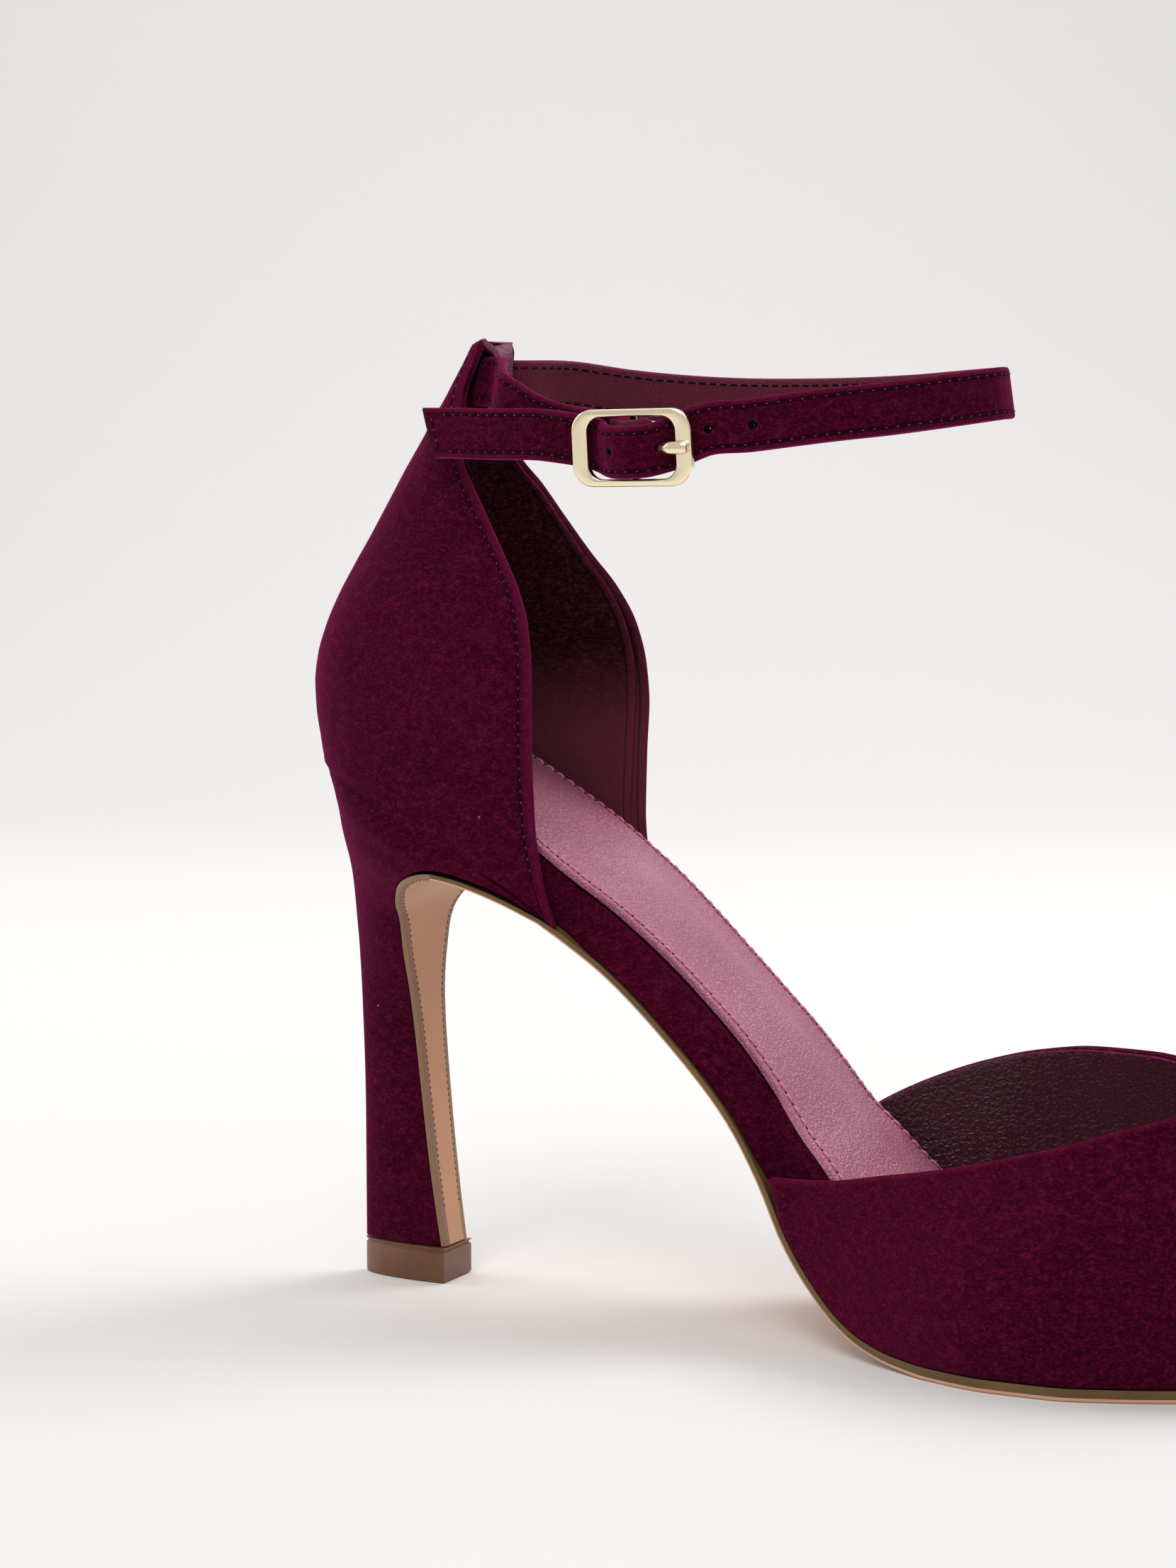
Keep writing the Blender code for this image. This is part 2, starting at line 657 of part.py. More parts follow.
def build_heel_tip(look):
    rings = []
    for z, inset in ((0.0, TIP_EDGE), (TIP_EDGE, 0.0), (TIP_HEIGHT, 0.0)):
        end = TIP_LENGTH / 2 - inset
        rings.append(heel_ring(Vector((-end, 0, z)), Vector((end, 0, z)),
                               TIP_WIDTH / 2 - inset, TIP_FULLNESS, 0.0))
    return loft("heel_tip", rings, look, 30)


# Insole board and footbed

def bed_line(x):
    """Height of the top of the wrapped board."""
    return seat_line(x) + LAST.at("board", station(x)) * WRAP_DEPTH


def bed_point(x, lift):
    """A point over the board's top, lifted along its normal."""
    return Vector((x, 0.0, bed_line(x))) + upright(bed_line, x) * lift


def plank_ring(x, bases, top, shoulder, lateral, medial):
    """Ring of a plank on the bed line: its base points, and its top with rounded shoulders."""
    shoulder = min(shoulder, (medial - lateral) * 0.4)
    curve = [(bed_point(x, top - drop * shoulder), reach * shoulder) for drop, reach in SHOULDER]
    middle = (lateral + medial) / 2
    across = [(base, lateral) for base in bases]
    across += [(point, lateral + reach) for point, reach in curve]
    across.append((bed_point(x, top), middle))
    across += [(point, medial - reach) for point, reach in reversed(curve)]
    across += [(base, medial) for base in bases]
    across += [(base, middle) for base in bases]
    return section(across)


def plank_stations(inset):
    """Stations of the board or the footbed, closer together at the heel, the arch and the toe."""
    heel, toe = HEEL_END + inset, TOE_END - inset - TOE_CLEARANCE
    toe_back = toe - TOE_ROUND
    places = spread(heel, HEEL_ROUNDED, 8, ease_start=True)
    places += spread(HEEL_ROUNDED, WAIST_FRONT, 11)[1:]
    places += spread(WAIST_FRONT, TREAD_BACK, 13)[1:]
    places += spread(TREAD_BACK, toe_back, 8)[1:]
    return places + spread(toe_back, toe - CAP_GAP, 7, ease_end=True)[1:]


def inset_edge(x, side, inset):
    """The feather line pulled in by inset, measured across the curve where it rounds the ends."""
    outer_x = HEEL_END + (x - HEEL_END - inset) * LAST_LENGTH / (LAST_LENGTH - 2 * inset)
    y = half_width(outer_x, side)
    centre = half_width(TOE_END, 1) * blend(x, TOE_END - 2 * TOE_ROUND, TOE_END)
    reach = abs(y - centre)
    kept = max(reach - inset * min(1.0, reach / WAIST_BLEND), CAP_GAP / 2)
    return centre + math.copysign(kept, side)


def build_board(look):
    rings = []
    inset = WALL + 2 * GAP
    for x in plank_stations(inset):
        outward = inset - GAP - board_inset(x)
        lateral = inset_edge(x, -1, inset) - outward
        medial = inset_edge(x, 1, inset) + outward
        rings.append(plank_ring(x, [seat_point(x, GAP / 2)], 0.0, EDGE_ROUND, lateral, medial))
    return loft("insole_board", rings, look, 50)


def build_footbed(look):
    rings = []
    inset = WALL + 2 * GAP + FOOTBED_INSET
    for x in plank_stations(inset):
        rings.append(plank_ring(x, [bed_point(x, GAP)], FOOTBED_THICKNESS + GAP, FOOTBED_EDGE,
                                inset_edge(x, -1, inset), inset_edge(x, 1, inset)))
    return loft("footbed", rings, look, 50)


# Quarter

def quarter_point(level, turn):
    """Outer surface of the quarter: level 0 at the seat and 1 at the tab, turn -1 lateral to 1."""
    angle = (1 - abs(turn)) * math.pi / 2
    fullness = QUARTER.at("fullness", level)
    forward = max(math.cos(angle), 0.0)
    reach = math.sin(angle) ** (2 / fullness) if angle > 0 else 0.0
    back = HEEL_END + QUARTER.at("lean", level) * COUNTER_LEAN
    edge = HEEL_END + QUARTER.at("edge", level) * QUARTER_DEPTH
    x = edge + (back - edge) * reach
    y = math.copysign(QUARTER.at("half", level) * SEAT_WIDTH * forward ** (2 / fullness), turn)
    edge_foot = seat_line(SEAT_FRONT)
    z_back = HEEL_HEIGHT + level * COUNTER_HEIGHT
    z_edge = edge_foot + QUARTER.at("edge_level", level) * (HEEL_HEIGHT + COUNTER_HEIGHT - edge_foot)
    z = z_edge + (z_back - z_edge) * reach
    seated = seat_line(x) + GAP / 2 + level * COUNTER_HEIGHT * FOOT_STRETCH
    settle = max(1 - level / SETTLE_LEVEL, 0.0) ** 2
    return Vector((x, y, z + settle * (seated - z)))


def build_quarter(look):
    grid = []
    steps = 15
    for level in QUARTER.key:
        turns = [math.copysign(1 - (1 - abs(i) / steps) ** 1.15, i) for i in range(-steps, steps + 1)]
        grid.append([quarter_point(level, turn) for turn in turns])
    return shell("quarter", grid, WALL, Vector((-1, 0, 0)), look)


def quarter_inside(level, turn, depth):
    """A point inside the quarter, a depth in from its outer surface."""
    step = TURN_STEP
    up = quarter_point(level, turn) - quarter_point(level - step, turn)
    round_heel = quarter_point(level, turn + step) - quarter_point(level, turn - step)
    inward = up.cross(round_heel).normalized()
    return quarter_point(level, turn) + (inward if inward.x > 0 else -inward) * depth


# Vamp

def vamp_point(turn, climb):
    """Outer surface: turn -1 lateral back edge, 0 toe, 1 medial back edge; climb 0 to 1 upward."""
    table = VAMP_MEDIAL if turn > 0 else VAMP_LATERAL
    side = 1 if turn > 0 else -1
    key = 1 - abs(turn)
    foot_x = VAMP_START + table.at("feather", key) * (TOE_END - VAMP_START)
    top_x = VAMP_START + table.at("top", key) * (THROAT_REACH - VAMP_START)
    foot = Vector((foot_x, half_width(foot_x, side), seat_line(foot_x) + GAP / 2))
    top = Vector((top_x, side * table.at("half", key) * BALL_WIDTH, table.at("height", key) * INSTEP_HEIGHT))
    widest = max(abs(foot.y), abs(top.y)) * (1 + table.at("swell", key) / 2)
    back, up = (top_x - foot_x) * KNEE_BACK, top.z - foot.z
    knee = Vector((foot_x + back, side * widest, foot.z + KNEE_RISE * up))
    toe = Vector((foot_x + back, foot.y, foot.z + TOE_RISE * up))
    knee = knee.lerp(toe, blend(key, TOE_BLEND, 1.0))
    return foot * (1 - climb) ** 2 + knee * (2 * climb * (1 - climb)) + top * (climb * climb)


def build_vamp(look):
    turns = [-1 + key for key in spread(0, 1, 25, ease_end=True)]
    turns += [-turn for turn in reversed(turns[:-1])]
    grid = [[vamp_point(turn, climb) for turn in turns] for climb in spread(0, 1, 9)]
    return shell("vamp", grid, WALL, Vector((0.3, 0, 1)), look)


# Ankle strap and buckle

def buckle_point(along, lift, across=0.0):
    """A point by the buckle: along in half lengths of it, lift in frame lifts, across in its heights."""
    lean = math.radians(BUCKLE_LEAN)
    outward = Vector((0.0, -math.cos(lean), -math.sin(lean)))
    upward = Vector((0.0, -math.sin(lean), math.cos(lean)))
    middle = Vector((BUCKLE_X + along * BUCKLE_LENGTH / 2, BUCKLE_Y, BUCKLE_Z))
    return middle + outward * lift * FRAME_LIFT + upward * across * BUCKLE_HEIGHT


def round_bar(reach, degrees, across=0.0):
    """A point round the buckle's bar, 0 degrees to the toe and 90 outward."""
    angle = math.radians(degrees)
    along = reach * math.cos(angle) / (BUCKLE_LENGTH / 2)
    return buckle_point(along, (BAR_LIFT + reach * math.sin(angle)) / FRAME_LIFT, across)


def tab_point(ahead, across):
    """A point of the strap inside the tab, ahead of the wall by shares of the strap's width."""
    wall = quarter_inside(TAB_LEVEL, 0.0, WALL)
    return wall + Vector((TAB_SPACE + ahead * STRAP_WIDTH, across * STRAP_WIDTH, 0.0))


def loop_point(along, across, drop):
    """A point of the ankle loop, from the tab's wall."""
    wall = quarter_inside(TAB_LEVEL, 0.0, WALL)
    return Vector((wall.x + along * LOOP_LENGTH, across * LOOP_WIDTH, STRAP_HEIGHT - drop * STRAP_SAG))


def strap_route():
    """Centre line points with their lean, from the folded end at the bar to the tail's end."""
    wrap = BAR_RADIUS + WRAP_GAP + STRAP_THICKNESS / 2
    route = [(buckle_point(*place), -BUCKLE_LEAN) for place in reversed(WRAP_RETURN)]
    route += [(round_bar(wrap, degrees, WRAP_MIDDLE), -BUCKLE_LEAN) for degrees in (90, 45, 0, -45, -90)]
    route += [(buckle_point(*place), -BUCKLE_LEAN) for place in reversed(WRAP_RISE)]
    route += [(loop_point(*place), lean) for *place, lean in reversed(STRAP_INNER)]
    route += [(tab_point(ahead, -across), lean) for ahead, across, lean in reversed(STRAP_BEND[1:])]
    route += [(tab_point(ahead, across), lean) for ahead, across, lean in STRAP_BEND]
    route += [(loop_point(*place), lean) for *place, lean in reversed(STRAP_OUTER)]
    route += [(buckle_point(*place), -BUCKLE_LEAN) for place in reversed(STRAP_WEAVE)]
    route += [(loop_point(*place), lean) for *place, lean in reversed(STRAP_TAIL)]
    return route


def strap_frames():
    """Centre points along the strap, with its direction and the band's upward direction at each."""
    route = strap_route()
    path = smooth_path([point for point, _ in route], STRAP_SPANS)
    frames = []
    for i, point in enumerate(path):
        k = min(i // STRAP_SPANS, len(route) - 2)
        lean = route[k][1] + (route[k + 1][1] - route[k][1]) * (i / STRAP_SPANS - k)
        along = (path[min(i + 1, len(path) - 1)] - path[max(i - 1, 0)]).normalized()
        side = along.cross(Vector((0, 0, 1))).normalized()
        if side.dot(Vector((BUCKLE_X, 0, point.z)) - point) < 0:
            side = -side
        up = (Vector((0, 0, 1)) - along * along.z).normalized()
        up = (up + side * math.tan(math.radians(lean))).normalized()
        frames.append((point, along, up))
    return frames


def build_strap(look):
    """A band along its frames, with soft corners and a slanted tail end."""
    frames = strap_frames()
    rings = []
    half, thick, soft = STRAP_WIDTH / 2, STRAP_THICKNESS / 2, BAND_EDGE
    corners = [(-half, -thick + soft), (-half + soft, -thick), (half - soft, -thick), (half, -thick + soft)]
    corners += [(-u, -v) for u, v in corners]
    for point, along, up in frames:
        side = along.cross(up).normalized()
        slant = max(1 - (point - frames[-1][0]).length / TAIL_CUT, 0.0) * TAIL_SLANT
        rings.append([point + up * u + side * v + along * (slant * u / STRAP_WIDTH) for u, v in corners])
    return loft("ankle_strap", rings, look, 50)


def build_tab_lining(look):
    """Patch in the tab, inside the bend of the strap and folded round its edges."""
    clear = STRAP_THICKNESS / 2 + GAP + LINING_THICKNESS / 2
    middle, reach = tab_point(0.0, 0.0), PATCH_REACH * STRAP_WIDTH
    bend = [frame for frame in strap_frames() if (frame[0] - middle).length < reach]
    grid = []
    for rise, depth in TAB_PATCH:
        row = []
        for point, along, up in bend:
            inward = along.cross(up).normalized()
            row.append(point + up * rise * STRAP_WIDTH + inward * depth * clear)
        grid.append(row)
    return shell("tab_lining", grid, LINING_THICKNESS, Vector((1, 0, 0)), look, offset=0.0)


def prong_points(start):
    """Round the bar from a start angle under it, over its top and out to the frame's far side."""
    reach = BAR_RADIUS + GAP + PRONG_RADIUS
    points = [round_bar(reach, degrees) for degrees in range(start, -281, -20)]
    ahead = [buckle_point(along, lift) for along, lift in PRONG_REACH]
    return points + smooth_path([points[-1]] + ahead, 3)[1:]


def rounded_outline(curve, half_x, half_y, radius):
    """Add a closed rounded rectangle to a flat curve."""
    points = []
    steps = 5
    for corner, (sx, sy) in enumerate(((1, 1), (-1, 1), (-1, -1), (1, -1))):
        for i in range(steps + 1):
            angle = (corner + i / steps) * math.pi / 2
            points.append((sx * (half_x - radius) + radius * math.cos(angle),
                           sy * (half_y - radius) + radius * math.sin(angle)))
    spline = curve.splines.new("POLY")
    spline.points.add(len(points) - 1)
    for knot, (x, y) in zip(spline.points, points):
        knot.co = (x, y, 0.0, 1.0)
    spline.use_cyclic_u = True


def build_buckle(look):
    """Flat frame with its window, standing upright, joined to the bar across its middle."""
    curve = bpy.data.curves.new("buckle_frame", "CURVE")
    curve.dimensions = "2D"
    curve.fill_mode = "BOTH"
    curve.extrude = BUCKLE_THICKNESS / 2 - BUCKLE_EDGE
    curve.bevel_depth = BUCKLE_EDGE
    curve.bevel_resolution = 1
    curve.offset = -BUCKLE_EDGE
    half_x, half_y = BUCKLE_LENGTH / 2, BUCKLE_HEIGHT / 2
    rounded_outline(curve, half_x, half_y, BUCKLE_ROUND)
    rounded_outline(curve, half_x - BUCKLE_SIDE, half_y - BUCKLE_RAIL, BUCKLE_ROUND - BUCKLE_RAIL)
    source = bpy.data.objects.new("frame_curve", curve)
    source.rotation_euler = (math.radians(90 + BUCKLE_LEAN), 0.0, 0.0)
    source.location = buckle_point(0, 1.0)
    bpy.context.scene.collection.objects.link(source)
    frame = mesh_from_curve("buckle_frame", source, look)
    bar = cylinder("buckle_bar", BAR_RADIUS, BUCKLE_HEIGHT - BUCKLE_RAIL)
    bar.location = round_bar(0.0, 0.0)
    bar.rotation_euler = (math.radians(BUCKLE_LEAN), 0.0, 0.0)
    as_cutter(bar)
    joined = frame.modifiers.new("bar", "BOOLEAN")
    joined.operation = "UNION"
    joined.object = bar
    return frame


def build_prong(look):
    return wire("buckle_prong", prong_points(PRONG_START), PRONG_RADIUS, look)


def cylinder(name, radius, depth):
    """A plain upright cylinder."""
    shape = bmesh.new()
    bmesh.ops.create_cone(shape, cap_ends=True, segments=12, radius1=radius, radius2=radius, depth=depth)
    mesh = bpy.data.meshes.new(name)
    shape.to_mesh(mesh)
    shape.free()
    return new_object(name, mesh)


def punch_strap(strap, look):
    """Spare holes, the hole seen in the buckle, and the way of the prong through the strap."""
    frames = strap_frames()
    outer = [frame for frame in frames[len(frames) // 2:] if frame[0].y < 0]
    cutters = []
    for k, place in enumerate(HOLE_PLACES):
        x = BUCKLE_X + PRONG_HOLE + place * HOLE_PITCH
        point, along, up = min(outer, key=lambda frame: abs(frame[0].x - x))
        hole = cylinder(f"strap_hole_{k}", HOLE_WIDTH / 2, STRAP_THICKNESS * 1.3)
        turn = along.cross(up).normalized().to_track_quat("Z", "Y").to_matrix().to_4x4()
        hole.matrix_world = Matrix.Translation(point) @ turn
        cutters.append(as_cutter(hole))
    way = wire("prong_way", prong_points(PRONG_START + 20), PRONG_RADIUS + PRONG_CLEARANCE, look)
    cutters.append(as_cutter(way))
    cut(strap, cutters)


for old in list(bpy.data.objects):
    bpy.data.objects.remove(old, do_unlink=True)

SHOE = bpy.data.collections.new("stiletto_court_shoe")
CUTTERS = bpy.data.collections.new("cutters")
for group in (SHOE, CUTTERS):
    bpy.context.scene.collection.children.link(group)

SUEDE = material("burgundy suede", (0.100, 0.004, 0.026), 0.95)
LINING = material("burgundy lining", (0.060, 0.010, 0.020), 0.60)
SOCK = material("footbed leather", (0.170, 0.030, 0.065), 0.45)
SOLE_LEATHER = material("nude sole leather", (0.660, 0.370, 0.230), 0.55)
TIP_RUBBER = material("amber top piece", (0.240, 0.100, 0.035), 0.45)
GOLD = material("pale gold", (0.850, 0.680, 0.380), 0.20, 1.0)

build_outsole(SOLE_LEATHER)
build_heel(SUEDE)
build_heel_tip(TIP_RUBBER)
build_board(SUEDE)
build_footbed(SOCK)
build_quarter(SUEDE)
build_tab_lining(LINING)
build_vamp(SUEDE)
ankle_strap = build_strap(SUEDE)
punch_strap(ankle_strap, SUEDE)
build_buckle(GOLD)
build_prong(GOLD)
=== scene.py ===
"""Looks of a two-part stiletto court shoe with an ankle strap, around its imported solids.

Metres, +X to the toe, +Y to the inner side, +Z up. Each sub-assembly is a class that holds
its sizes and builds its own pieces, and each finish is a small class that makes a material.
"""

import json
import logging
import math
from collections.abc import Callable, Sequence
from dataclasses import dataclass, field
from enum import Enum

import bmesh
import bpy
import numpy as np
from bpy.types import Curve, Material, Mesh, Node, NodeSocket, NodeTree, Object
from mathutils import Matrix, Vector

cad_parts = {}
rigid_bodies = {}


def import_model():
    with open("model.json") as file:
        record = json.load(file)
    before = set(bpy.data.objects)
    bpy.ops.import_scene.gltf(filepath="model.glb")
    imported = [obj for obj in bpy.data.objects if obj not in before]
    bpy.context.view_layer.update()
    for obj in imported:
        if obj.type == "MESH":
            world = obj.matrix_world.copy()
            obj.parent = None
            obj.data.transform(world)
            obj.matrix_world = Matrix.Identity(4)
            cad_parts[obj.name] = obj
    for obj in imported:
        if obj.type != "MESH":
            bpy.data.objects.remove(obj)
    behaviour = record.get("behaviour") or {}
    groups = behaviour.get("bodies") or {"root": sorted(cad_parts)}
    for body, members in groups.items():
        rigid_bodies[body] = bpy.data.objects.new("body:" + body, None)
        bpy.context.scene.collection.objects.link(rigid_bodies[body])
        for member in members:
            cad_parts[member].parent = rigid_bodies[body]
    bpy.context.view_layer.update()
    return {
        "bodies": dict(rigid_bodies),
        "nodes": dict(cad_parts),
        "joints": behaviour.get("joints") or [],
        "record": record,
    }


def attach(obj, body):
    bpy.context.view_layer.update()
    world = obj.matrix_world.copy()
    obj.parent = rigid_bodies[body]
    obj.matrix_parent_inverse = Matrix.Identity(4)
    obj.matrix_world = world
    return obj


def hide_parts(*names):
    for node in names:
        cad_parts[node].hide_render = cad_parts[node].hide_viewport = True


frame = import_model()

logging.basicConfig(level=logging.INFO, format="%(message)s")
log = logging.getLogger("shoe")

BODY = "root"


class Side(Enum):
    """The outer and the inner side of the foot."""

    LATERAL = -1
    MEDIAL = 1


class Slot(Enum):
    """The record's material slots."""

    SUEDE = "suede"
    LINING = "lining_leather"
    FOOTBED = "footbed_leather"
    SOLE = "sole_leather"
    TIP = "tip_plastic"
    GOLD = "gold"


Grid = list[list[Vector]]
Seam = Sequence[tuple[Vector, Vector]]
Band = list[tuple[Vector, Vector, Vector, Vector]]
Rows = tuple[tuple[float, ...], ...]


# Shared mathematics

class Table:
    """Rows with named columns, read through a curve that never overshoots its rows."""

    def __init__(self, columns: Sequence[str], rows: Sequence[Sequence[float]]) -> None:
        """Keep each column as an array.

        Args:
            columns: Names of the columns, the key first.
            rows: One row of numbers for each section.
        """
        self.data = {name: np.array([row[i] for row in rows], float) for i, name in enumerate(columns)}
        self.key = self.data[columns[0]]

    def at(self, column: str, key: float) -> float:
        """Read a column at a key.

        Args:
            column: Name of the column.
            key: Place along the first column.

        Returns:
            The value there.
        """
        x, y = self.key, self.data[column]
        h, slope = np.diff(x), np.diff(y) / np.diff(x)
        tangent = np.zeros_like(y)
        for i in range(1, len(x) - 1):
            if slope[i - 1] * slope[i] > 0:
                a, b = 2 * h[i] + h[i - 1], h[i] + 2 * h[i - 1]
                tangent[i] = (a + b) / (a / slope[i - 1] + b / slope[i])
        tangent[0], tangent[-1] = slope[0], slope[-1]
        k = min(max(int(np.searchsorted(x, key)) - 1, 0), len(h) - 1)
        t = (min(max(key, x[0]), x[-1]) - x[k]) / h[k]
        return float((1 + 2 * t) * (1 - t) ** 2 * y[k] + t * (1 - t) ** 2 * h[k] * tangent[k]
                     + t * t * (3 - 2 * t) * y[k + 1] + t * t * (t - 1) * h[k] * tangent[k + 1])


def blend(x: float, start: float, end: float) -> float:
    """Smooth share from 0 at start to 1 at end."""
    t = min(max((x - start) / (end - start), 0.0), 1.0)
    return t * t * (3 - 2 * t)


def spread(start: float, end: float, count: int, ease_start: bool = False,
           ease_end: bool = False) -> list[float]:
    """Stations from start to end, closer together towards an eased end.

    Args:
        start: First station.
        end: Last station.
        count: How many stations.
        ease_start: Whether they crowd at the start.
        ease_end: Whether they crowd at the end.

    Returns:
        The stations.
    """
    points = []
    for i in range(count):
        t = i / (count - 1)
        if ease_start:
            t = 1 - math.cos(math.pi * t / 2)
        elif ease_end:
            t = math.sin(math.pi * t / 2)
        points.append(start + (end - start) * t)
    return points


def smooth_path(points: Sequence[Vector], per_span: int) -> list[Vector]:
    """A smooth curve through points.

    Args:
        points: The points it passes through.
        per_span: Steps between each two of them.

    Returns:
        The points of the curve.
    """
    knots = [Vector(point) for point in points]
    chords = [(b - a).length for a, b in zip(knots, knots[1:])]
    tangents = [(knots[1] - knots[0]) / chords[0]]
    for i in range(1, len(knots) - 1):
        before = (knots[i] - knots[i - 1]) / chords[i - 1]
        after = (knots[i + 1] - knots[i]) / chords[i]
        share = chords[i - 1] / (chords[i - 1] + chords[i])
        tangents.append(before * (1 - share) + after * share)
    tangents.append((knots[-1] - knots[-2]) / chords[-1])
    path = []
    for i, chord in enumerate(chords):
        for k in range(per_span):
            t = k / per_span
            path.append(knots[i] * (1 + 2 * t) * (1 - t) ** 2 + tangents[i] * (t * (1 - t) ** 2 * chord)
                        + knots[i + 1] * t * t * (3 - 2 * t) + tangents[i + 1] * (t * t * (t - 1) * chord))
    return path + [knots[-1]]


def refine(rings: Sequence[Sequence[Vector]], per_span: int) -> list[list[Vector]]:
    """More rings between the given ones, along a smooth curve through each column of points."""
    columns = [smooth_path(column, per_span) for column in zip(*rings)]
    return [list(ring) for ring in zip(*columns)]


def resample(path: Seam, step: float) -> list[tuple[Vector, Vector]]:
    """Points at equal distances along a path of points with normals.

    Args:
        path: Points with the surface's normal at each.
        step: Distance between the new points.

    Returns:
        The new points with their normals.
    """
    lengths = [0.0]
    for (a, _), (b, _) in zip(path, path[1:]):
        lengths.append(lengths[-1] + (b - a).length)
    made = []
    k = 0
    for i in range(int(lengths[-1] / step) + 1):
        reach = i * step
        while k < len(lengths) - 2 and lengths[k + 1] < reach:
            k += 1
        t = (reach - lengths[k]) / max(lengths[k + 1] - lengths[k], 1e-9)
        made.append((path[k][0].lerp(path[k + 1][0], t), path[k][1].lerp(path[k + 1][1], t).normalized()))
    return made


# Shared mesh building

def new_piece(name: str, mesh: Mesh, looks: Sequence[Material], sharp_degrees: float = 40) -> Object:
    """A smooth-shaded object from a mesh, with its materials.

    Args:
        name: Name of the piece.
        mesh: Its mesh.
        looks: Its materials, in slot order.
        sharp_degrees: Angle above which an edge stays sharp.

    Returns:
        The object.
    """
    obj = bpy.data.objects.new(name, mesh)
    bpy.context.scene.collection.objects.link(obj)
    for look in looks:
        mesh.materials.append(look)
    mesh.shade_smooth()
    mesh.set_sharp_from_angle(angle=math.radians(sharp_degrees))
    return obj


def grid_normals(grid: Grid) -> np.ndarray:
    """Unit normals at each point of a grid.

    Args:
        grid: Rows of points.

    Returns:
        An array of rows, columns and 3.
    """
    points = np.array([[tuple(p) for p in row] for row in grid])
    across = np.gradient(points, axis=1)
    along = np.gradient(points, axis=0)
    normals = np.cross(across, along)
    return normals / np.maximum(np.linalg.norm(normals, axis=2, keepdims=True), 1e-12)


def offset_grid(grid: Grid, depth: float, outward: Vector) -> Grid:
    """A grid moved along its normals.

    Args:
        grid: Rows of points.
        depth: How far it moves inward.
        outward: Rough outward direction at the grid's middle.

    Returns:
        The moved grid.
    """
    normals = grid_normals(grid)
    middle = normals[len(grid) // 2][len(grid[0]) // 2]
    sign = 1.0 if Vector(middle).dot(outward) > 0 else -1.0
    return [[p - Vector(n) * (sign * depth) for p, n in zip(row, line)] for row, line in zip(grid, normals)]


def rim_distance(grid: Grid, skip_first_row: bool) -> list[float]:
    """How far each point of a grid lies from the grid's edge, measured along its rows and columns.

    Args:
        grid: Rows of points.
        skip_first_row: Whether the first row is no free edge.

    Returns:
        The distances, row by row.
    """
    points = np.array([[tuple(p) for p in row] for row in grid])
    along = np.linalg.norm(np.diff(points, axis=0), axis=2).cumsum(axis=0)
    along = np.vstack([np.zeros((1, points.shape[1])), along])
    across = np.linalg.norm(np.diff(points, axis=1), axis=2).cumsum(axis=1)
    across = np.hstack([np.zeros((points.shape[0], 1)), across])
    distance = np.minimum(across, across[:, -1:] - across)
    distance = np.minimum(distance, along[-1:] - along)
    if not skip_first_row:
        distance = np.minimum(distance, along)
    return list(distance.reshape(-1))


def keep_rims(mesh: Mesh, rims: Sequence[float]) -> None:
    """Keep each point's distance from the free edge as the attribute that suede reads."""
    attribute = mesh.attributes.new("rim", "FLOAT", "POINT")
    attribute.data.foreach_set("value", np.array(rims, np.float32))


def sheet_mesh(name: str, grid: Grid, outward: Vector, rims: Sequence[float] | None = None) -> Mesh:
    """An open surface through a grid, facing outward.

    Args:
        name: Name of the mesh.
        grid: Rows of points.
        outward: Rough outward direction at its middle.
        rims: Distance of each point from the free edge, kept as an attribute.

    Returns:
        The mesh.
    """
    count = len(grid[0])
    points = [tuple(p) for row in grid for p in row]
    faces = []
    for r in range(len(grid) - 1):
        for c in range(count - 1):
            a = r * count + c
            faces.append((a, a + 1, a + count + 1, a + count))
    middle = faces[(len(grid) - 1) // 2 * (count - 1) + (count - 1) // 2]
    a, b, d = (Vector(points[middle[i]]) for i in (0, 1, 3))
    if (b - a).cross(d - a).dot(outward) < 0:
        faces = [tuple(reversed(face)) for face in faces]
    mesh = bpy.data.meshes.new(name)
    mesh.from_pydata(points, [], faces)
    if rims is not None:
        keep_rims(mesh, rims)
    return mesh


def wall_piece(name: str, grid: Grid, thickness: float, outward: Vector,
               looks: Sequence[Material], edge: float, skip_first_row: bool = True,
               centred: bool = False) -> Object:
    """A walled piece from a grid: outer, inner and rim materials, with a rounded rim.

    Args:
        name: Name of the piece.
        grid: Rows of points on its outer face.
        thickness: Its wall.
        outward: Rough outward direction at its middle.
        looks: Materials of the outer face, the inner face and the rim.
        edge: Radius of the rim's corners.
        skip_first_row: Whether the first row is no free edge.
        centred: Whether the wall lies on both sides of the grid.

    Returns:
        The piece.
    """
    mesh = sheet_mesh(name, grid, outward, rim_distance(grid, skip_first_row))
    obj = new_piece(name, mesh, looks)
    wall = obj.modifiers.new("wall", "SOLIDIFY")
    wall.thickness = thickness
    wall.offset = 0.0 if centred else -1.0
    wall.material_offset = 1
    wall.material_offset_rim = 2
    soft = obj.modifiers.new("rim", "BEVEL")
    soft.width = edge
    soft.segments = 3
    soft.limit_method = "ANGLE"
    soft.angle_limit = math.radians(60)
    soft.use_clamp_overlap = True
    return obj


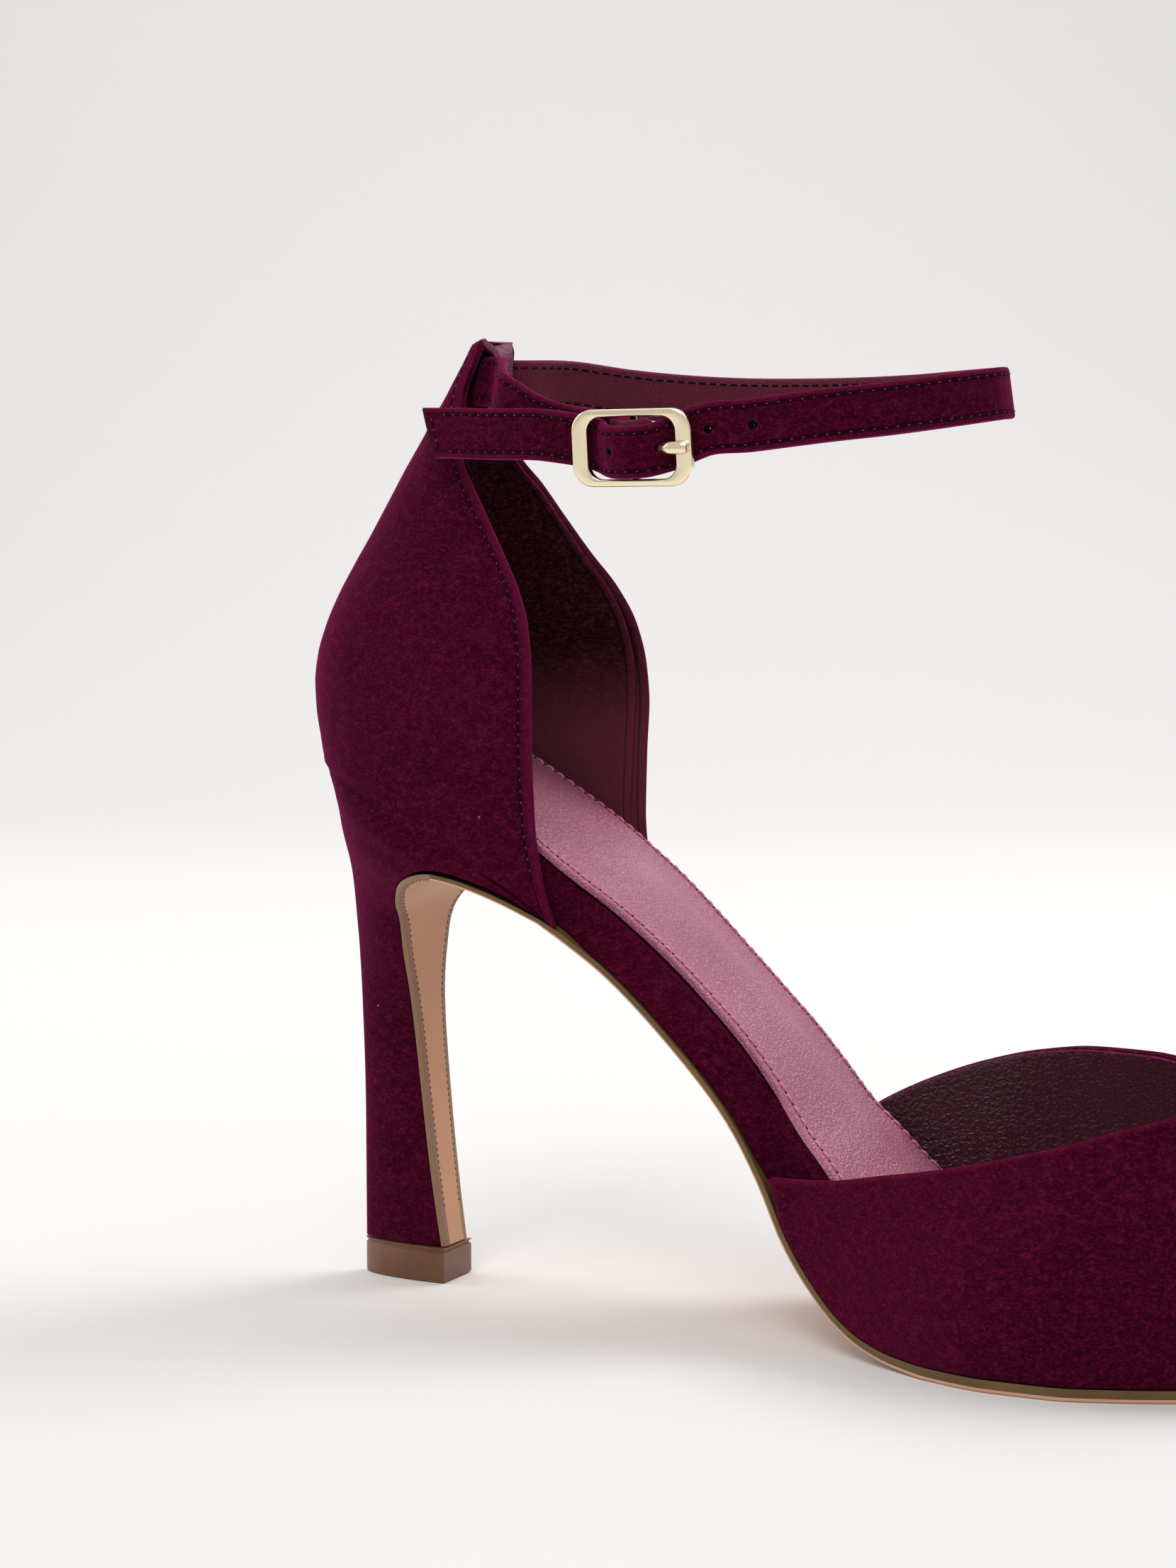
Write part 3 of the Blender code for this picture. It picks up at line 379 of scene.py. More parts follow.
def loft(name: str, rings: Sequence[Sequence[Vector]], looks: Sequence[Material],
         pick: Callable[[int, int], int] | None = None, sharp_degrees: float = 40,
         end: int = 0) -> Object:
    """A closed solid through rings of points.

    Args:
        name: Name of the piece.
        rings: Rings with as many points each.
        looks: Its materials.
        pick: Gives the material's number from the ring's and the segment's number.
        sharp_degrees: Angle above which an edge stays sharp.
        end: The material's number on both ends.

    Returns:
        The piece.
    """
    count = len(rings[0])
    shape = bmesh.new()
    rows = [[shape.verts.new(point) for point in ring] for ring in rings]
    for r, (near, far) in enumerate(zip(rows, rows[1:])):
        for i in range(count):
            j = (i + 1) % count
            face = shape.faces.new((near[i], near[j], far[j], far[i]))
            face.material_index = pick(r, i) if pick else 0
    for ring in (rows[0], rows[-1]):
        shape.faces.new(ring).material_index = end
    bmesh.ops.recalc_face_normals(shape, faces=shape.faces)
    mesh = bpy.data.meshes.new(name)
    shape.to_mesh(mesh)
    shape.free()
    return new_piece(name, mesh, looks, sharp_degrees)


def apply_modifiers(obj: Object) -> None:
    """Keep a mesh object's evaluated mesh and drop its modifiers."""
    bpy.context.view_layer.update()
    evaluated = obj.evaluated_get(bpy.context.evaluated_depsgraph_get())
    made = bpy.data.meshes.new_from_object(evaluated)
    obj.modifiers.clear()
    obj.data = made


def settle(obj: Object, slot: Slot, *nodes: str) -> None:
    """Fasten a piece to the body, hide the solids it stands for and log its record slot.

    Args:
        obj: The piece.
        slot: Its slot in the record.
        nodes: Solids that it replaces.
    """
    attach(obj, BODY)
    if nodes:
        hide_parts(*nodes)
    log.info("%s: %d faces, slot %s", obj.name, len(obj.data.polygons), slot.value)


@dataclass(frozen=True)
class Thread:
    """Sewn stitches: a short arched thread for each, sunk at both ends."""

    radius: float = 0.00017
    pitch: float = 0.0026
    share: float = 0.80
    sides: int = 6
    lift: float = 0.6
    phase: float = 0.0

    def sew(self, name: str, paths: Sequence[Seam], look: Material) -> Object:
        """Sew along paths.

        Args:
            name: Name of the piece.
            paths: Paths of points with the surface's normals.
            look: Material of the thread.

        Returns:
            One piece that holds all the stitches.
        """
        rises = ((0.0, -0.8, 0.75), (0.12, 0.35, 1.0), (0.5, 1.0, 1.0), (0.88, 0.35, 1.0),
                 (1.0, -0.8, 0.75))
        points: list[tuple[float, float, float]] = []
        faces: list[tuple[int, ...]] = []
        for path in paths:
            knots = resample(path, self.pitch)
            for (a, na), (b, nb) in zip(knots, knots[1:]):
                along = (b - a).normalized()
                first = len(points)
                for place, rise, width in rises:
                    normal = na.lerp(nb, place).normalized()
                    side = along.cross(normal).normalized()
                    centre = a.lerp(b, (1 - self.share) / 2 + place * self.share + self.phase)
                    centre += normal * (rise * self.lift * self.radius)
                    for k in range(self.sides):
                        turn = 2 * math.pi * k / self.sides
                        reach = side * math.cos(turn) + normal * math.sin(turn)
                        points.append(tuple(centre + reach * (self.radius * width)))
                rows = len(rises)
                for r in range(rows - 1):
                    for k in range(self.sides):
                        j = (k + 1) % self.sides
                        p, q = first + r * self.sides, first + (r + 1) * self.sides
                        faces.append((p + k, p + j, q + j, q + k))
                last = first + (rows - 1) * self.sides
                faces.append(tuple(first + k for k in reversed(range(self.sides))))
                faces.append(tuple(last + k for k in range(self.sides)))
        mesh = bpy.data.meshes.new(name)
        mesh.from_pydata(points, [], faces)
        return new_piece(name, mesh, [look], 60)


# Finishes

class Tree:
    """Adds and links shader nodes in one tree."""

    def __init__(self, tree: NodeTree) -> None:
        """Work on a node tree."""
        self.tree = tree

    def add(self, kind: str, inputs: dict[str | int, object] | None = None, **settings: object) -> Node:
        """Add a node.

        Args:
            kind: Its type name.
            inputs: Values or output sockets for its inputs, by name or number.
            settings: Its own properties.

        Returns:
            The node.
        """
        made = self.tree.nodes.new(kind)
        for key, value in settings.items():
            setattr(made, key, value)
        for key, value in (inputs or {}).items():
            if isinstance(value, NodeSocket):
                self.tree.links.new(value, made.inputs[key])
            else:
                made.inputs[key].default_value = value
        return made

    def mix(self, share: object, first: object, second: object, mode: str = "MIX") -> NodeSocket:
        """Mix two colours and give the result's socket."""
        inputs = {0: share, 6: first, 7: second}
        return self.add("ShaderNodeMix", inputs, data_type="RGBA", blend_type=mode).outputs[2]

    def maths(self, operation: str, first: object, second: object = 0.0) -> NodeSocket:
        """One sum of two numbers, and its socket."""
        return self.add("ShaderNodeMath", {0: first, 1: second}, operation=operation).outputs[0]

    def ramp(self, value: object, low: object, high: object, start: object = 0.0,
             end: object = 1.0) -> NodeSocket:
        """Carry a value from one range to another, clamped."""
        inputs = {"Value": value, "From Min": low, "From Max": high, "To Min": start, "To Max": end}
        return self.add("ShaderNodeMapRange", inputs, clamp=True).outputs[0]

    def noise(self, place: object, scale: object, detail: float = 3.0, rough: float = 0.55) -> NodeSocket:
        """A noise's factor."""
        inputs = {"Vector": place, "Scale": scale, "Detail": detail, "Roughness": rough}
        return self.add("ShaderNodeTexNoise", inputs).outputs["Fac"]


FLOAT, COLOUR = "NodeSocketFloat", "NodeSocketColor"
Rgb = tuple[float, float, float]


def rgba(colour: Rgb) -> tuple[float, float, float, float]:
    """A colour with full alpha."""
    return (*colour, 1.0)


class Pattern(Tree):
    """Fills a shader node group with named sockets."""

    def __init__(self, name: str, inputs: dict[str, float | None], outputs: Sequence[str]) -> None:
        """Make the group. An input without a number, and the output Colour, are colours.

        Args:
            name: Name of the group.
            inputs: The inputs with their numbers.
            outputs: Names of the outputs.
        """
        super().__init__(bpy.data.node_groups.new(name, "ShaderNodeTree"))
        sockets = self.tree.interface
        for label, value in inputs.items():
            kind = COLOUR if value is None else FLOAT
            socket = sockets.new_socket(name=label, in_out="INPUT", socket_type=kind)
            if value is not None:
                socket.default_value = value
        for label in outputs:
            kind = COLOUR if label == "Colour" else FLOAT
            sockets.new_socket(name=label, in_out="OUTPUT", socket_type=kind)
        self.given, self.result = self.add("NodeGroupInput"), self.add("NodeGroupOutput")

    def take(self, label: str) -> NodeSocket:
        """The socket that brings an input in."""
        return self.given.outputs[label]

    def give(self, **values: NodeSocket) -> NodeTree:
        """Link the outputs and hand the group over."""
        for label, value in values.items():
            self.tree.links.new(value, self.result.inputs[label])
        return self.tree


def nap_group() -> NodeTree:
    """Brushed suede: patches, fibres, a groove with painted shade, a painted rim highlight, lint and painted
    bounce light.

    Returns:
        The node group.
    """
    t = Pattern(
        "suede_nap",
        {"Deep": None, "Nap": None, "Tips": None, "Patch Scale": 32.0, "Fibre Scale": 2600.0,
         "Groove Place": 0.0021, "Groove Width": 0.0004, "Groove Depth": 1.0, "Lint": 0.6,
         "Painted Bounce Light": 0.0, "Bounce Top": 0.112, "Bounce Foot": 0.096},
        ("Colour", "Height"))
    place = t.add("ShaderNodeTexCoord").outputs["Object"]
    brushed = t.add("ShaderNodeMapping", {"Vector": place, "Rotation": (0.3, 0.7, 0.2),
                                          "Scale": (0.6, 0.9, 1.0)}).outputs[0]
    patches = t.noise(place, t.take("Patch Scale"), 3.0, 0.5)
    fibres = t.noise(brushed, t.take("Fibre Scale"), 5.0, 0.7)
    tufts = t.noise(brushed, 850.0, 4.0, 0.65)
    lit = t.mix(t.ramp(patches, 0.25, 0.75, 0.15, 1.0), t.take("Deep"), t.take("Nap"))
    lit = t.mix(t.ramp(tufts, 0.48, 0.80, 0.0, 0.40), lit, t.take("Tips"))
    lit = t.mix(t.ramp(tufts, 0.46, 0.22, 0.0, 0.60), lit, t.take("Deep"))
    lit = t.mix(t.ramp(fibres, 0.50, 0.76, 0.0, 0.75), lit, t.take("Tips"))
    lit = t.mix(t.ramp(fibres, 0.48, 0.26, 0.0, 0.70), lit, t.take("Deep"))
    cells = t.add("ShaderNodeTexVoronoi", {"Vector": place, "Scale": 260.0})
    speck = t.maths("MULTIPLY", t.ramp(cells.outputs["Distance"], 0.075, 0.03),
                    t.maths("GREATER_THAN", cells.outputs["Color"], 0.80))
    lit = t.mix(t.maths("MULTIPLY", speck, t.take("Lint")), lit, rgba((0.42, 0.16, 0.24)))
    rim = t.add("ShaderNodeAttribute", attribute_name="rim").outputs["Fac"]
    edged = t.maths("GREATER_THAN", rim, 1e-6)
    away = t.maths("ABSOLUTE", t.maths("SUBTRACT", rim, t.take("Groove Place")))
    groove = t.maths("SUBTRACT", 1.0, t.maths("DIVIDE", away, t.take("Groove Width")))
    groove = t.maths("MULTIPLY", t.maths("MAXIMUM", groove, 0.0), edged)
    groove = t.maths("MULTIPLY", groove, t.take("Groove Depth"))
    # Painted highlight: the colour lightens towards Tips near the free edge.
    painted_rim_highlight = t.maths("SUBTRACT", 1.0, t.maths("DIVIDE", rim, t.take("Groove Place")))
    painted_rim_highlight = t.maths("MULTIPLY", t.maths("MAXIMUM", painted_rim_highlight, 0.0), edged)
    lit = t.mix(t.maths("MULTIPLY", painted_rim_highlight, 0.42), lit, t.take("Tips"))
    # Painted shade: the colour darkens towards Deep along the stitched groove, which also sinks the bump.
    lit = t.mix(t.maths("MULTIPLY", groove, 0.8), lit, t.take("Deep"))
    # Painted bounce light: the colour lightens towards Tips low on the piece, below the given top height.
    level = t.add("ShaderNodeSeparateXYZ", {0: place}).outputs[2]
    fade = t.ramp(level, t.take("Bounce Top"), t.take("Bounce Foot"))
    lit = t.mix(t.maths("MULTIPLY", fade, t.take("Painted Bounce Light")), lit, t.take("Tips"))
    height = t.maths("ADD", t.maths("MULTIPLY", fibres, 0.5), t.maths("MULTIPLY", tufts, 0.5))
    height = t.maths("SUBTRACT", height, t.maths("MULTIPLY", groove, 1.1))
    return t.give(Colour=lit, Height=height)


def grain_group() -> NodeTree:
    """Leather grain: pebbles with fine creases between them, and slow changes of tone.

    Returns:
        The node group.
    """
    t = Pattern(
        "leather_grain", {"Colour": None, "Crease": None, "Pebble Scale": 1200.0, "Tone Scale": 45.0},
        ("Colour", "Height", "Tone"))
    place = t.add("ShaderNodeTexCoord").outputs["Object"]
    wobble = t.add("ShaderNodeTexNoise", {"Vector": place, "Scale": 900.0, "Detail": 2.0}).outputs["Color"]
    bent = t.mix(0.0006, place, wobble, "LINEAR_LIGHT")
    pebbles = t.add("ShaderNodeTexVoronoi", {"Vector": bent, "Scale": t.take("Pebble Scale")},
                    feature="DISTANCE_TO_EDGE")
    crease = t.ramp(pebbles.outputs["Distance"], 0.0, 0.16, 1.0, 0.0)
    tone = t.noise(place, t.take("Tone Scale"), 3.0, 0.5)
    pores = t.noise(place, 2600.0, 2.0, 0.5)
    shade = t.mix(t.maths("MULTIPLY", crease, 0.6), t.take("Colour"), t.take("Crease"))
    shade = t.mix(t.ramp(tone, 0.35, 0.7, 0.0, 0.35), shade, t.take("Crease"))
    dome = t.ramp(pebbles.outputs["Distance"], 0.0, 0.32)
    height = t.maths("ADD", t.maths("MULTIPLY", dome, 0.75), t.maths("MULTIPLY", pores, 0.25))
    return t.give(Colour=shade, Height=height, Tone=tone)


def cloud_group() -> NodeTree:
    """Smooth faces: soft clouds of a second colour, and fine scratches.

    Returns:
        The node group.
    """
    t = Pattern(
        "smooth_clouds",
        {"Colour": None, "Cloud": None, "Cloud Scale": 70.0, "Scratch Scale": 2200.0, "Roughness": 0.5},
        ("Colour", "Roughness", "Height"))
    place = t.add("ShaderNodeTexCoord").outputs["Object"]
    clouds = t.ramp(t.noise(place, t.take("Cloud Scale"), 4.0), 0.35, 0.68)
    stretched = t.add("ShaderNodeMapping", {"Vector": place, "Scale": (0.25, 1.0, 1.0)}).outputs[0]
    fine = t.noise(stretched, t.take("Scratch Scale"), 3.0)
    rough = t.take("Roughness")
    gloss = t.ramp(fine, 0.3, 0.7, t.maths("MULTIPLY", rough, 0.85), t.maths("MULTIPLY", rough, 1.2))
    shade = t.mix(clouds, t.take("Colour"), t.take("Cloud"))
    return t.give(Colour=shade, Roughness=gloss, Height=fine)


@dataclass(frozen=True)
class Surface:
    """What each finish sets straight on its shader."""

    name: str
    roughness: float = 0.6
    metallic: float = 0.0
    sheen: float = 0.0
    sheen_colour: Rgb = (1.0, 1.0, 1.0)
    sheen_roughness: float = 0.5
    coat: float = 0.0
    coat_roughness: float = 0.2
    specular: float = 0.5

    def start(self) -> tuple[Material, Tree, Node]:
        """Make the material with its constants.

        Returns:
            The material, its tree's builder and its shader.
        """
        made = bpy.data.materials.new(self.name)
        made.use_nodes = True
        shader = made.node_tree.nodes["Principled BSDF"]
        values = {
            "Roughness": self.roughness, "Metallic": self.metallic, "Sheen Weight": self.sheen,
            "Sheen Tint": rgba(self.sheen_colour), "Sheen Roughness": self.sheen_roughness,
            "Coat Weight": self.coat, "Coat Roughness": self.coat_roughness,
            "Specular IOR Level": self.specular,
        }
        for label, value in values.items():
            shader.inputs[label].default_value = value
        return made, Tree(made.node_tree), shader

    def dress(self, pattern: NodeTree, values: dict[str, object], strength: float,
              relief: float) -> tuple[Material, Tree, Node, Node]:
        """Make the material and lay a pattern over it.

        Args:
            pattern: The group that gives its Colour and Height.
            values: The group's inputs.
            strength: Strength of the bump.
            relief: Depth of the bump.

        Returns:
            The material, its tree's builder, its shader and the group's node.
        """
        made, t, shader = self.start()
        laid = t.add("ShaderNodeGroup", values, node_tree=pattern)
        bump = t.add("ShaderNodeBump", {"Strength": strength, "Distance": relief,
                                        "Height": laid.outputs["Height"]})
        t.tree.links.new(laid.outputs["Colour"], shader.inputs["Base Color"])
        t.tree.links.new(bump.outputs[0], shader.inputs["Normal"])
        return made, t, shader, laid


@dataclass(frozen=True)
class SuedeFinish:
    """Suede in a deep, a middle and a lit colour."""

    surface: Surface
    deep: Rgb
    nap: Rgb
    tips: Rgb
    patch_scale: float = 32.0
    fibre_scale: float = 2600.0
    groove_place: float = 0.0021
    # Strength of the groove's bump and of the painted shade along it.
    groove_depth: float = 1.0
    lint: float = 0.6
    painted_bounce_light: float = 0.0
    relief: float = 0.00030

    def make(self, pattern: NodeTree) -> Material:
        """Make the material over the suede group."""
        values = {
            "Deep": rgba(self.deep), "Nap": rgba(self.nap), "Tips": rgba(self.tips),
            "Patch Scale": self.patch_scale, "Fibre Scale": self.fibre_scale,
            "Groove Place": self.groove_place, "Groove Depth": self.groove_depth,
            "Lint": self.lint, "Painted Bounce Light": self.painted_bounce_light,
        }
        return self.surface.dress(pattern, values, 0.9, self.relief)[0]


@dataclass(frozen=True)
class LeatherFinish:
    """Grained leather with a crease colour."""

    surface: Surface
    colour: Rgb
    crease: Rgb
    pebble_scale: float = 1200.0
    tone_scale: float = 45.0
    relief: float = 0.00012
    gloss_swing: float = 0.08

    def make(self, pattern: NodeTree) -> Material:
        """Make the material over the leather group, glossier where its tone is low.

        Args:
            pattern: The leather group.

        Returns:
            The material.
        """
        values = {"Colour": rgba(self.colour), "Crease": rgba(self.crease),
                  "Pebble Scale": self.pebble_scale, "Tone Scale": self.tone_scale}
        made, t, shader, grain = self.surface.dress(pattern, values, 0.8, self.relief)
        rough = self.surface.roughness
        gloss = t.ramp(grain.outputs["Tone"], 0.3, 0.7, rough - self.gloss_swing, rough + self.gloss_swing)
        t.tree.links.new(gloss, shader.inputs["Roughness"])
        return made


@dataclass(frozen=True)
class PlainFinish:
    """Smooth material with faint clouds of a second colour and fine scratches."""

    surface: Surface
    colour: Rgb
    cloud: Rgb
    cloud_scale: float = 70.0
    scratch_scale: float = 2200.0
    relief: float = 0.00003

    def make(self, pattern: NodeTree) -> Material:
        """Make the material over the group of clouds and scratches.

        Args:
            pattern: The group.

        Returns:
            The material.
        """
        values = {"Colour": rgba(self.colour), "Cloud": rgba(self.cloud), "Cloud Scale": self.cloud_scale,
                  "Scratch Scale": self.scratch_scale, "Roughness": self.surface.roughness}
        made, t, shader, wear = self.surface.dress(pattern, values, 0.7, self.relief)
        t.tree.links.new(wear.outputs["Roughness"], shader.inputs["Roughness"])
        return made


class Finishes:
    """Every material of the shoe, made once."""

    def __init__(self) -> None:
        """Make the shared groups and the materials."""
        nap, grain, cloud = nap_group(), grain_group(), cloud_group()
        burgundy = ((0.0165, 0.0004, 0.0036), (0.051, 0.0012, 0.0120), (0.165, 0.0085, 0.052))
        plush = {"sheen": 0.27, "sheen_colour": (1.0, 0.07, 0.36), "sheen_roughness": 0.4, "specular": 0.03}
        self.suede = SuedeFinish(Surface("burgundy_suede", 0.95, **plush), *burgundy).make(nap)
        self.vamp_suede = SuedeFinish(
            Surface("vamp_suede", 0.95, **plush), *burgundy, patch_scale=14.0, groove_place=0.0010,
            groove_depth=0.0).make(nap)
        self.strap_suede = SuedeFinish(
            Surface("strap_suede", 0.95, **plush), *burgundy, groove_place=0.0012).make(nap)
        self.cut_suede = SuedeFinish(
            Surface("cut_suede_edge", 1.0, **plush), (0.060, 0.003, 0.018), (0.130, 0.008, 0.042),
            (0.270, 0.040, 0.125), lint=0.0).make(nap)
        # The heel grip lining has painted bounce light on its lower part.
        self.grip = SuedeFinish(
            Surface("heel_grip_lining", 0.98, sheen=0.05, sheen_colour=(0.9, 0.3, 0.3), specular=0.03),
            (0.010, 0.0012, 0.0022), (0.026, 0.0042, 0.0070), (0.150, 0.034, 0.052),
            patch_scale=22.0, fibre_scale=2000.0, groove_place=0.0016, lint=0.3, painted_bounce_light=0.8).make(nap)
        self.lining = LeatherFinish(
            Surface("vamp_lining", 0.30, coat=0.35, coat_roughness=0.18), (0.062, 0.009, 0.020),
            (0.030, 0.003, 0.009), pebble_scale=1000.0, relief=0.00018).make(grain)
        self.patch = LeatherFinish(
            Surface("strap_lining", 0.55, specular=0.15), (0.120, 0.0135, 0.034), (0.058, 0.005, 0.014),
            pebble_scale=1300.0, relief=0.00010).make(grain)
        self.tab_patch = LeatherFinish(
            Surface("tab_patch_leather", 0.55, specular=0.3), (0.215, 0.050, 0.100), (0.105, 0.018, 0.044),
            pebble_scale=1000.0, relief=0.00020).make(grain)
        self.footbed = LeatherFinish(
            Surface("footbed_leather", 0.38, coat=0.08, coat_roughness=0.30, specular=0.42),
            (0.480, 0.150, 0.245), (0.280, 0.062, 0.125), pebble_scale=1250.0, relief=0.00022).make(grain)
        self.black_edge = PlainFinish(
            Surface("black_edge_paint", 0.50, specular=0.12), (0.0030, 0.0020, 0.0025),
            (0.008, 0.005, 0.006)).make(cloud)
        self.sole = PlainFinish(
            Surface("nude_sole_leather", 0.48, coat=0.08), (0.62, 0.335, 0.205), (0.68, 0.39, 0.25),
            cloud_scale=45.0).make(cloud)
        self.flap = PlainFinish(
            Surface("nude_breast_leather", 0.45, coat=0.10), (0.50, 0.245, 0.125), (0.57, 0.295, 0.155),
            cloud_scale=38.0).make(cloud)
        self.sole_edge = PlainFinish(
            Surface("brown_sole_edge", 0.5), (0.150, 0.083, 0.022), (0.100, 0.050, 0.012)).make(cloud)
        self.flap_margin = PlainFinish(
            Surface("flap_margin", 0.5), (0.270, 0.155, 0.088), (0.225, 0.120, 0.064)).make(cloud)
        self.tip = PlainFinish(
            Surface("amber_top_piece", 0.42, coat=0.1), (0.170, 0.066, 0.024), (0.125, 0.046, 0.015),
            cloud_scale=120.0).make(cloud)
        self.gold = PlainFinish(
            Surface("pale_gold", 0.17, metallic=1.0), (0.97, 0.85, 0.61), (0.94, 0.81, 0.56),
            scratch_scale=3000.0, relief=0.000008).make(cloud)
        self.dark_gold = PlainFinish(
            Surface("pale_gold_bar", 0.24, metallic=1.0), (0.72, 0.50, 0.24), (0.62, 0.42, 0.19),
            relief=0.000008).make(cloud)
        # Near-black thread: partly its own dark colour, partly painted shade in sunk seams and needle holes.
        self.thread = PlainFinish(
            Surface("dark_thread", 0.9, specular=0.1), (0.0075, 0.0006, 0.0022),
            (0.014, 0.0012, 0.0045)).make(cloud)
        self.pink_thread = PlainFinish(
            Surface("pink_thread", 0.6, sheen=0.2), (0.620, 0.200, 0.320), (0.460, 0.110, 0.200)).make(cloud)
        # Pale thread pieces coloured as painted highlights between the dark stitches.
        self.glint = PlainFinish(
            Surface("suede_thread_glint", 0.6, specular=0.3), (0.210, 0.045, 0.095),
            (0.130, 0.022, 0.055)).make(cloud)
        self.dot = PlainFinish(
            Surface("brown_dots", 0.7), (0.10, 0.045, 0.02), (0.07, 0.03, 0.012)).make(cloud)


# The last that every piece follows

@dataclass(frozen=True)
class Last:
    """The shoe's bottom line and outline."""

    heel_height: float = 0.0920
    length: float = 0.2125
    setback: float = 0.0125
    ball_width: float = 0.0730
    seat_width: float = 0.0500
    quarter_depth: float = 0.0512
    vamp_start: float = 0.0775
    toe_spring: float = 0.0056
    toe_shift: float = 0.0040
    toe_round: float = 0.0150
    gap: float = 0.0003
    wall: float = 0.0018
    sole: float = 0.0022
    waist_sole: float = 0.0014
    seat_fullness: float = 3.3
    joint_back: float = 0.0840
    tread_back: float = 0.1120
    waist_front: float = 0.0700
    cap_gap: float = 0.0005
    slope_step: float = 0.0008
    table: Table = field(default_factory=lambda: Table(
        ("station", "rise", "spring", "board", "lateral", "medial"),
        [
            (0.000, 1.000, 0.00, 0.95, 0.312, 0.312),
            (0.045, 0.978, 0.00, 1.00, 0.312, 0.312),
            (0.091, 0.919, 0.00, 1.22, 0.312, 0.312),
            (0.125, 0.871, 0.00, 1.30, 0.312, 0.312),
            (0.161, 0.824, 0.00, 1.22, 0.312, 0.312),
            (0.199, 0.777, 0.00, 1.10, 0.312, 0.312),
            (0.236, 0.716, 0.00, 1.06, 0.306, 0.305),
            (0.279, 0.635, 0.00, 1.10, 0.276, 0.281),
            (0.334, 0.504, 0.00, 1.26, 0.256, 0.258),
            (0.362, 0.431, 0.00, 1.34, 0.255, 0.256),
            (0.386, 0.360, 0.00, 1.48, 0.262, 0.259),
            (0.410, 0.267, 0.00, 1.76, 0.274, 0.266),
            (0.433, 0.162, 0.00, 2.14, 0.293, 0.275),
            (0.457, 0.092, 0.00, 2.28, 0.320, 0.288),
            (0.480, 0.045, 0.00, 2.15, 0.351, 0.303),
            (0.504, 0.018, 0.00, 1.80, 0.388, 0.330),
            (0.535, 0.003, 0.00, 1.30, 0.434, 0.364),
            (0.566, 0.000, 0.00, 0.95, 0.480, 0.409),
            (0.618, 0.000, 0.00, 0.66, 0.522, 0.460),
            (0.661, 0.000, 0.00, 0.62, 0.525, 0.475),
            (0.704, 0.000, 0.00, 0.62, 0.494, 0.475),
            (0.764, 0.000, 0.00, 0.60, 0.420, 0.436),
            (0.835, 0.000, 0.09, 0.56, 0.302, 0.347),
            (0.906, 0.000, 0.37, 0.52, 0.186, 0.258),
            (0.953, 0.000, 0.66, 0.48, 0.110, 0.199),
            (1.000, 0.000, 1.00, 0.44, 0.040, 0.150),
        ]))

    @property
    def heel_end(self) -> float:
        """The back end of the last."""
        return -self.setback

    @property
    def toe_end(self) -> float:
        """The front end of the last."""
        return self.heel_end + self.length

    @property
    def seat_front(self) -> float:
        """Where the quarter's lower edge ends."""
        return self.heel_end + self.quarter_depth

    def station(self, x: float) -> float:
        """Share of the last's length behind x."""
        return (x - self.heel_end) / self.length

    def seat_line(self, x: float) -> float:
        """Height of the line where the upper meets the sole or the heel."""
        rise, spring = (self.table.at(column, self.station(x)) for column in ("rise", "spring"))
        return self.sole + rise * (self.heel_height - self.sole) + spring * self.toe_spring

    def upright(self, line: Callable[[float], float], x: float) -> Vector:
        """Unit vector square to a height line in the plane y = 0."""
        slope = (line(x + self.slope_step) - line(x - self.slope_step)) / (2 * self.slope_step)
        return Vector((-slope, 0.0, 1.0)).normalized()

    def seat_point(self, x: float, lift: float) -> Vector:
        """A point over the seat line, lifted along its normal."""
        return Vector((x, 0.0, self.seat_line(x))) + self.upright(self.seat_line, x) * lift

    def sole_depth(self, x: float) -> float:
        """Thickness of the outsole at x."""
        return self.waist_sole + (self.sole - self.waist_sole) * blend(x, self.joint_back, self.tread_back)

    def half_width(self, x: float, side: int) -> float:
        """Signed distance of the feather line from y = 0 on one side.

        Args:
            x: Place along the shoe.
            side: -1 for the outer side, 1 for the inner.

        Returns:
            The distance, with the side's sign.
        """
        share = min(max((self.seat_front - x) / self.quarter_depth, 0.0), 1.0)
        rounding = (1.0 - share ** self.seat_fullness) ** (1.0 / self.seat_fullness)
        column = "medial" if side > 0 else "lateral"
        y = side * self.table.at(column, self.station(x)) * self.ball_width * rounding
        share = min(max((x - self.toe_end + self.toe_round) / self.toe_round, 0.0), 1.0)
        return self.toe_shift + (y - self.toe_shift) * math.sqrt(1.0 - share * share) if share > 0 else y


# Sole and heel

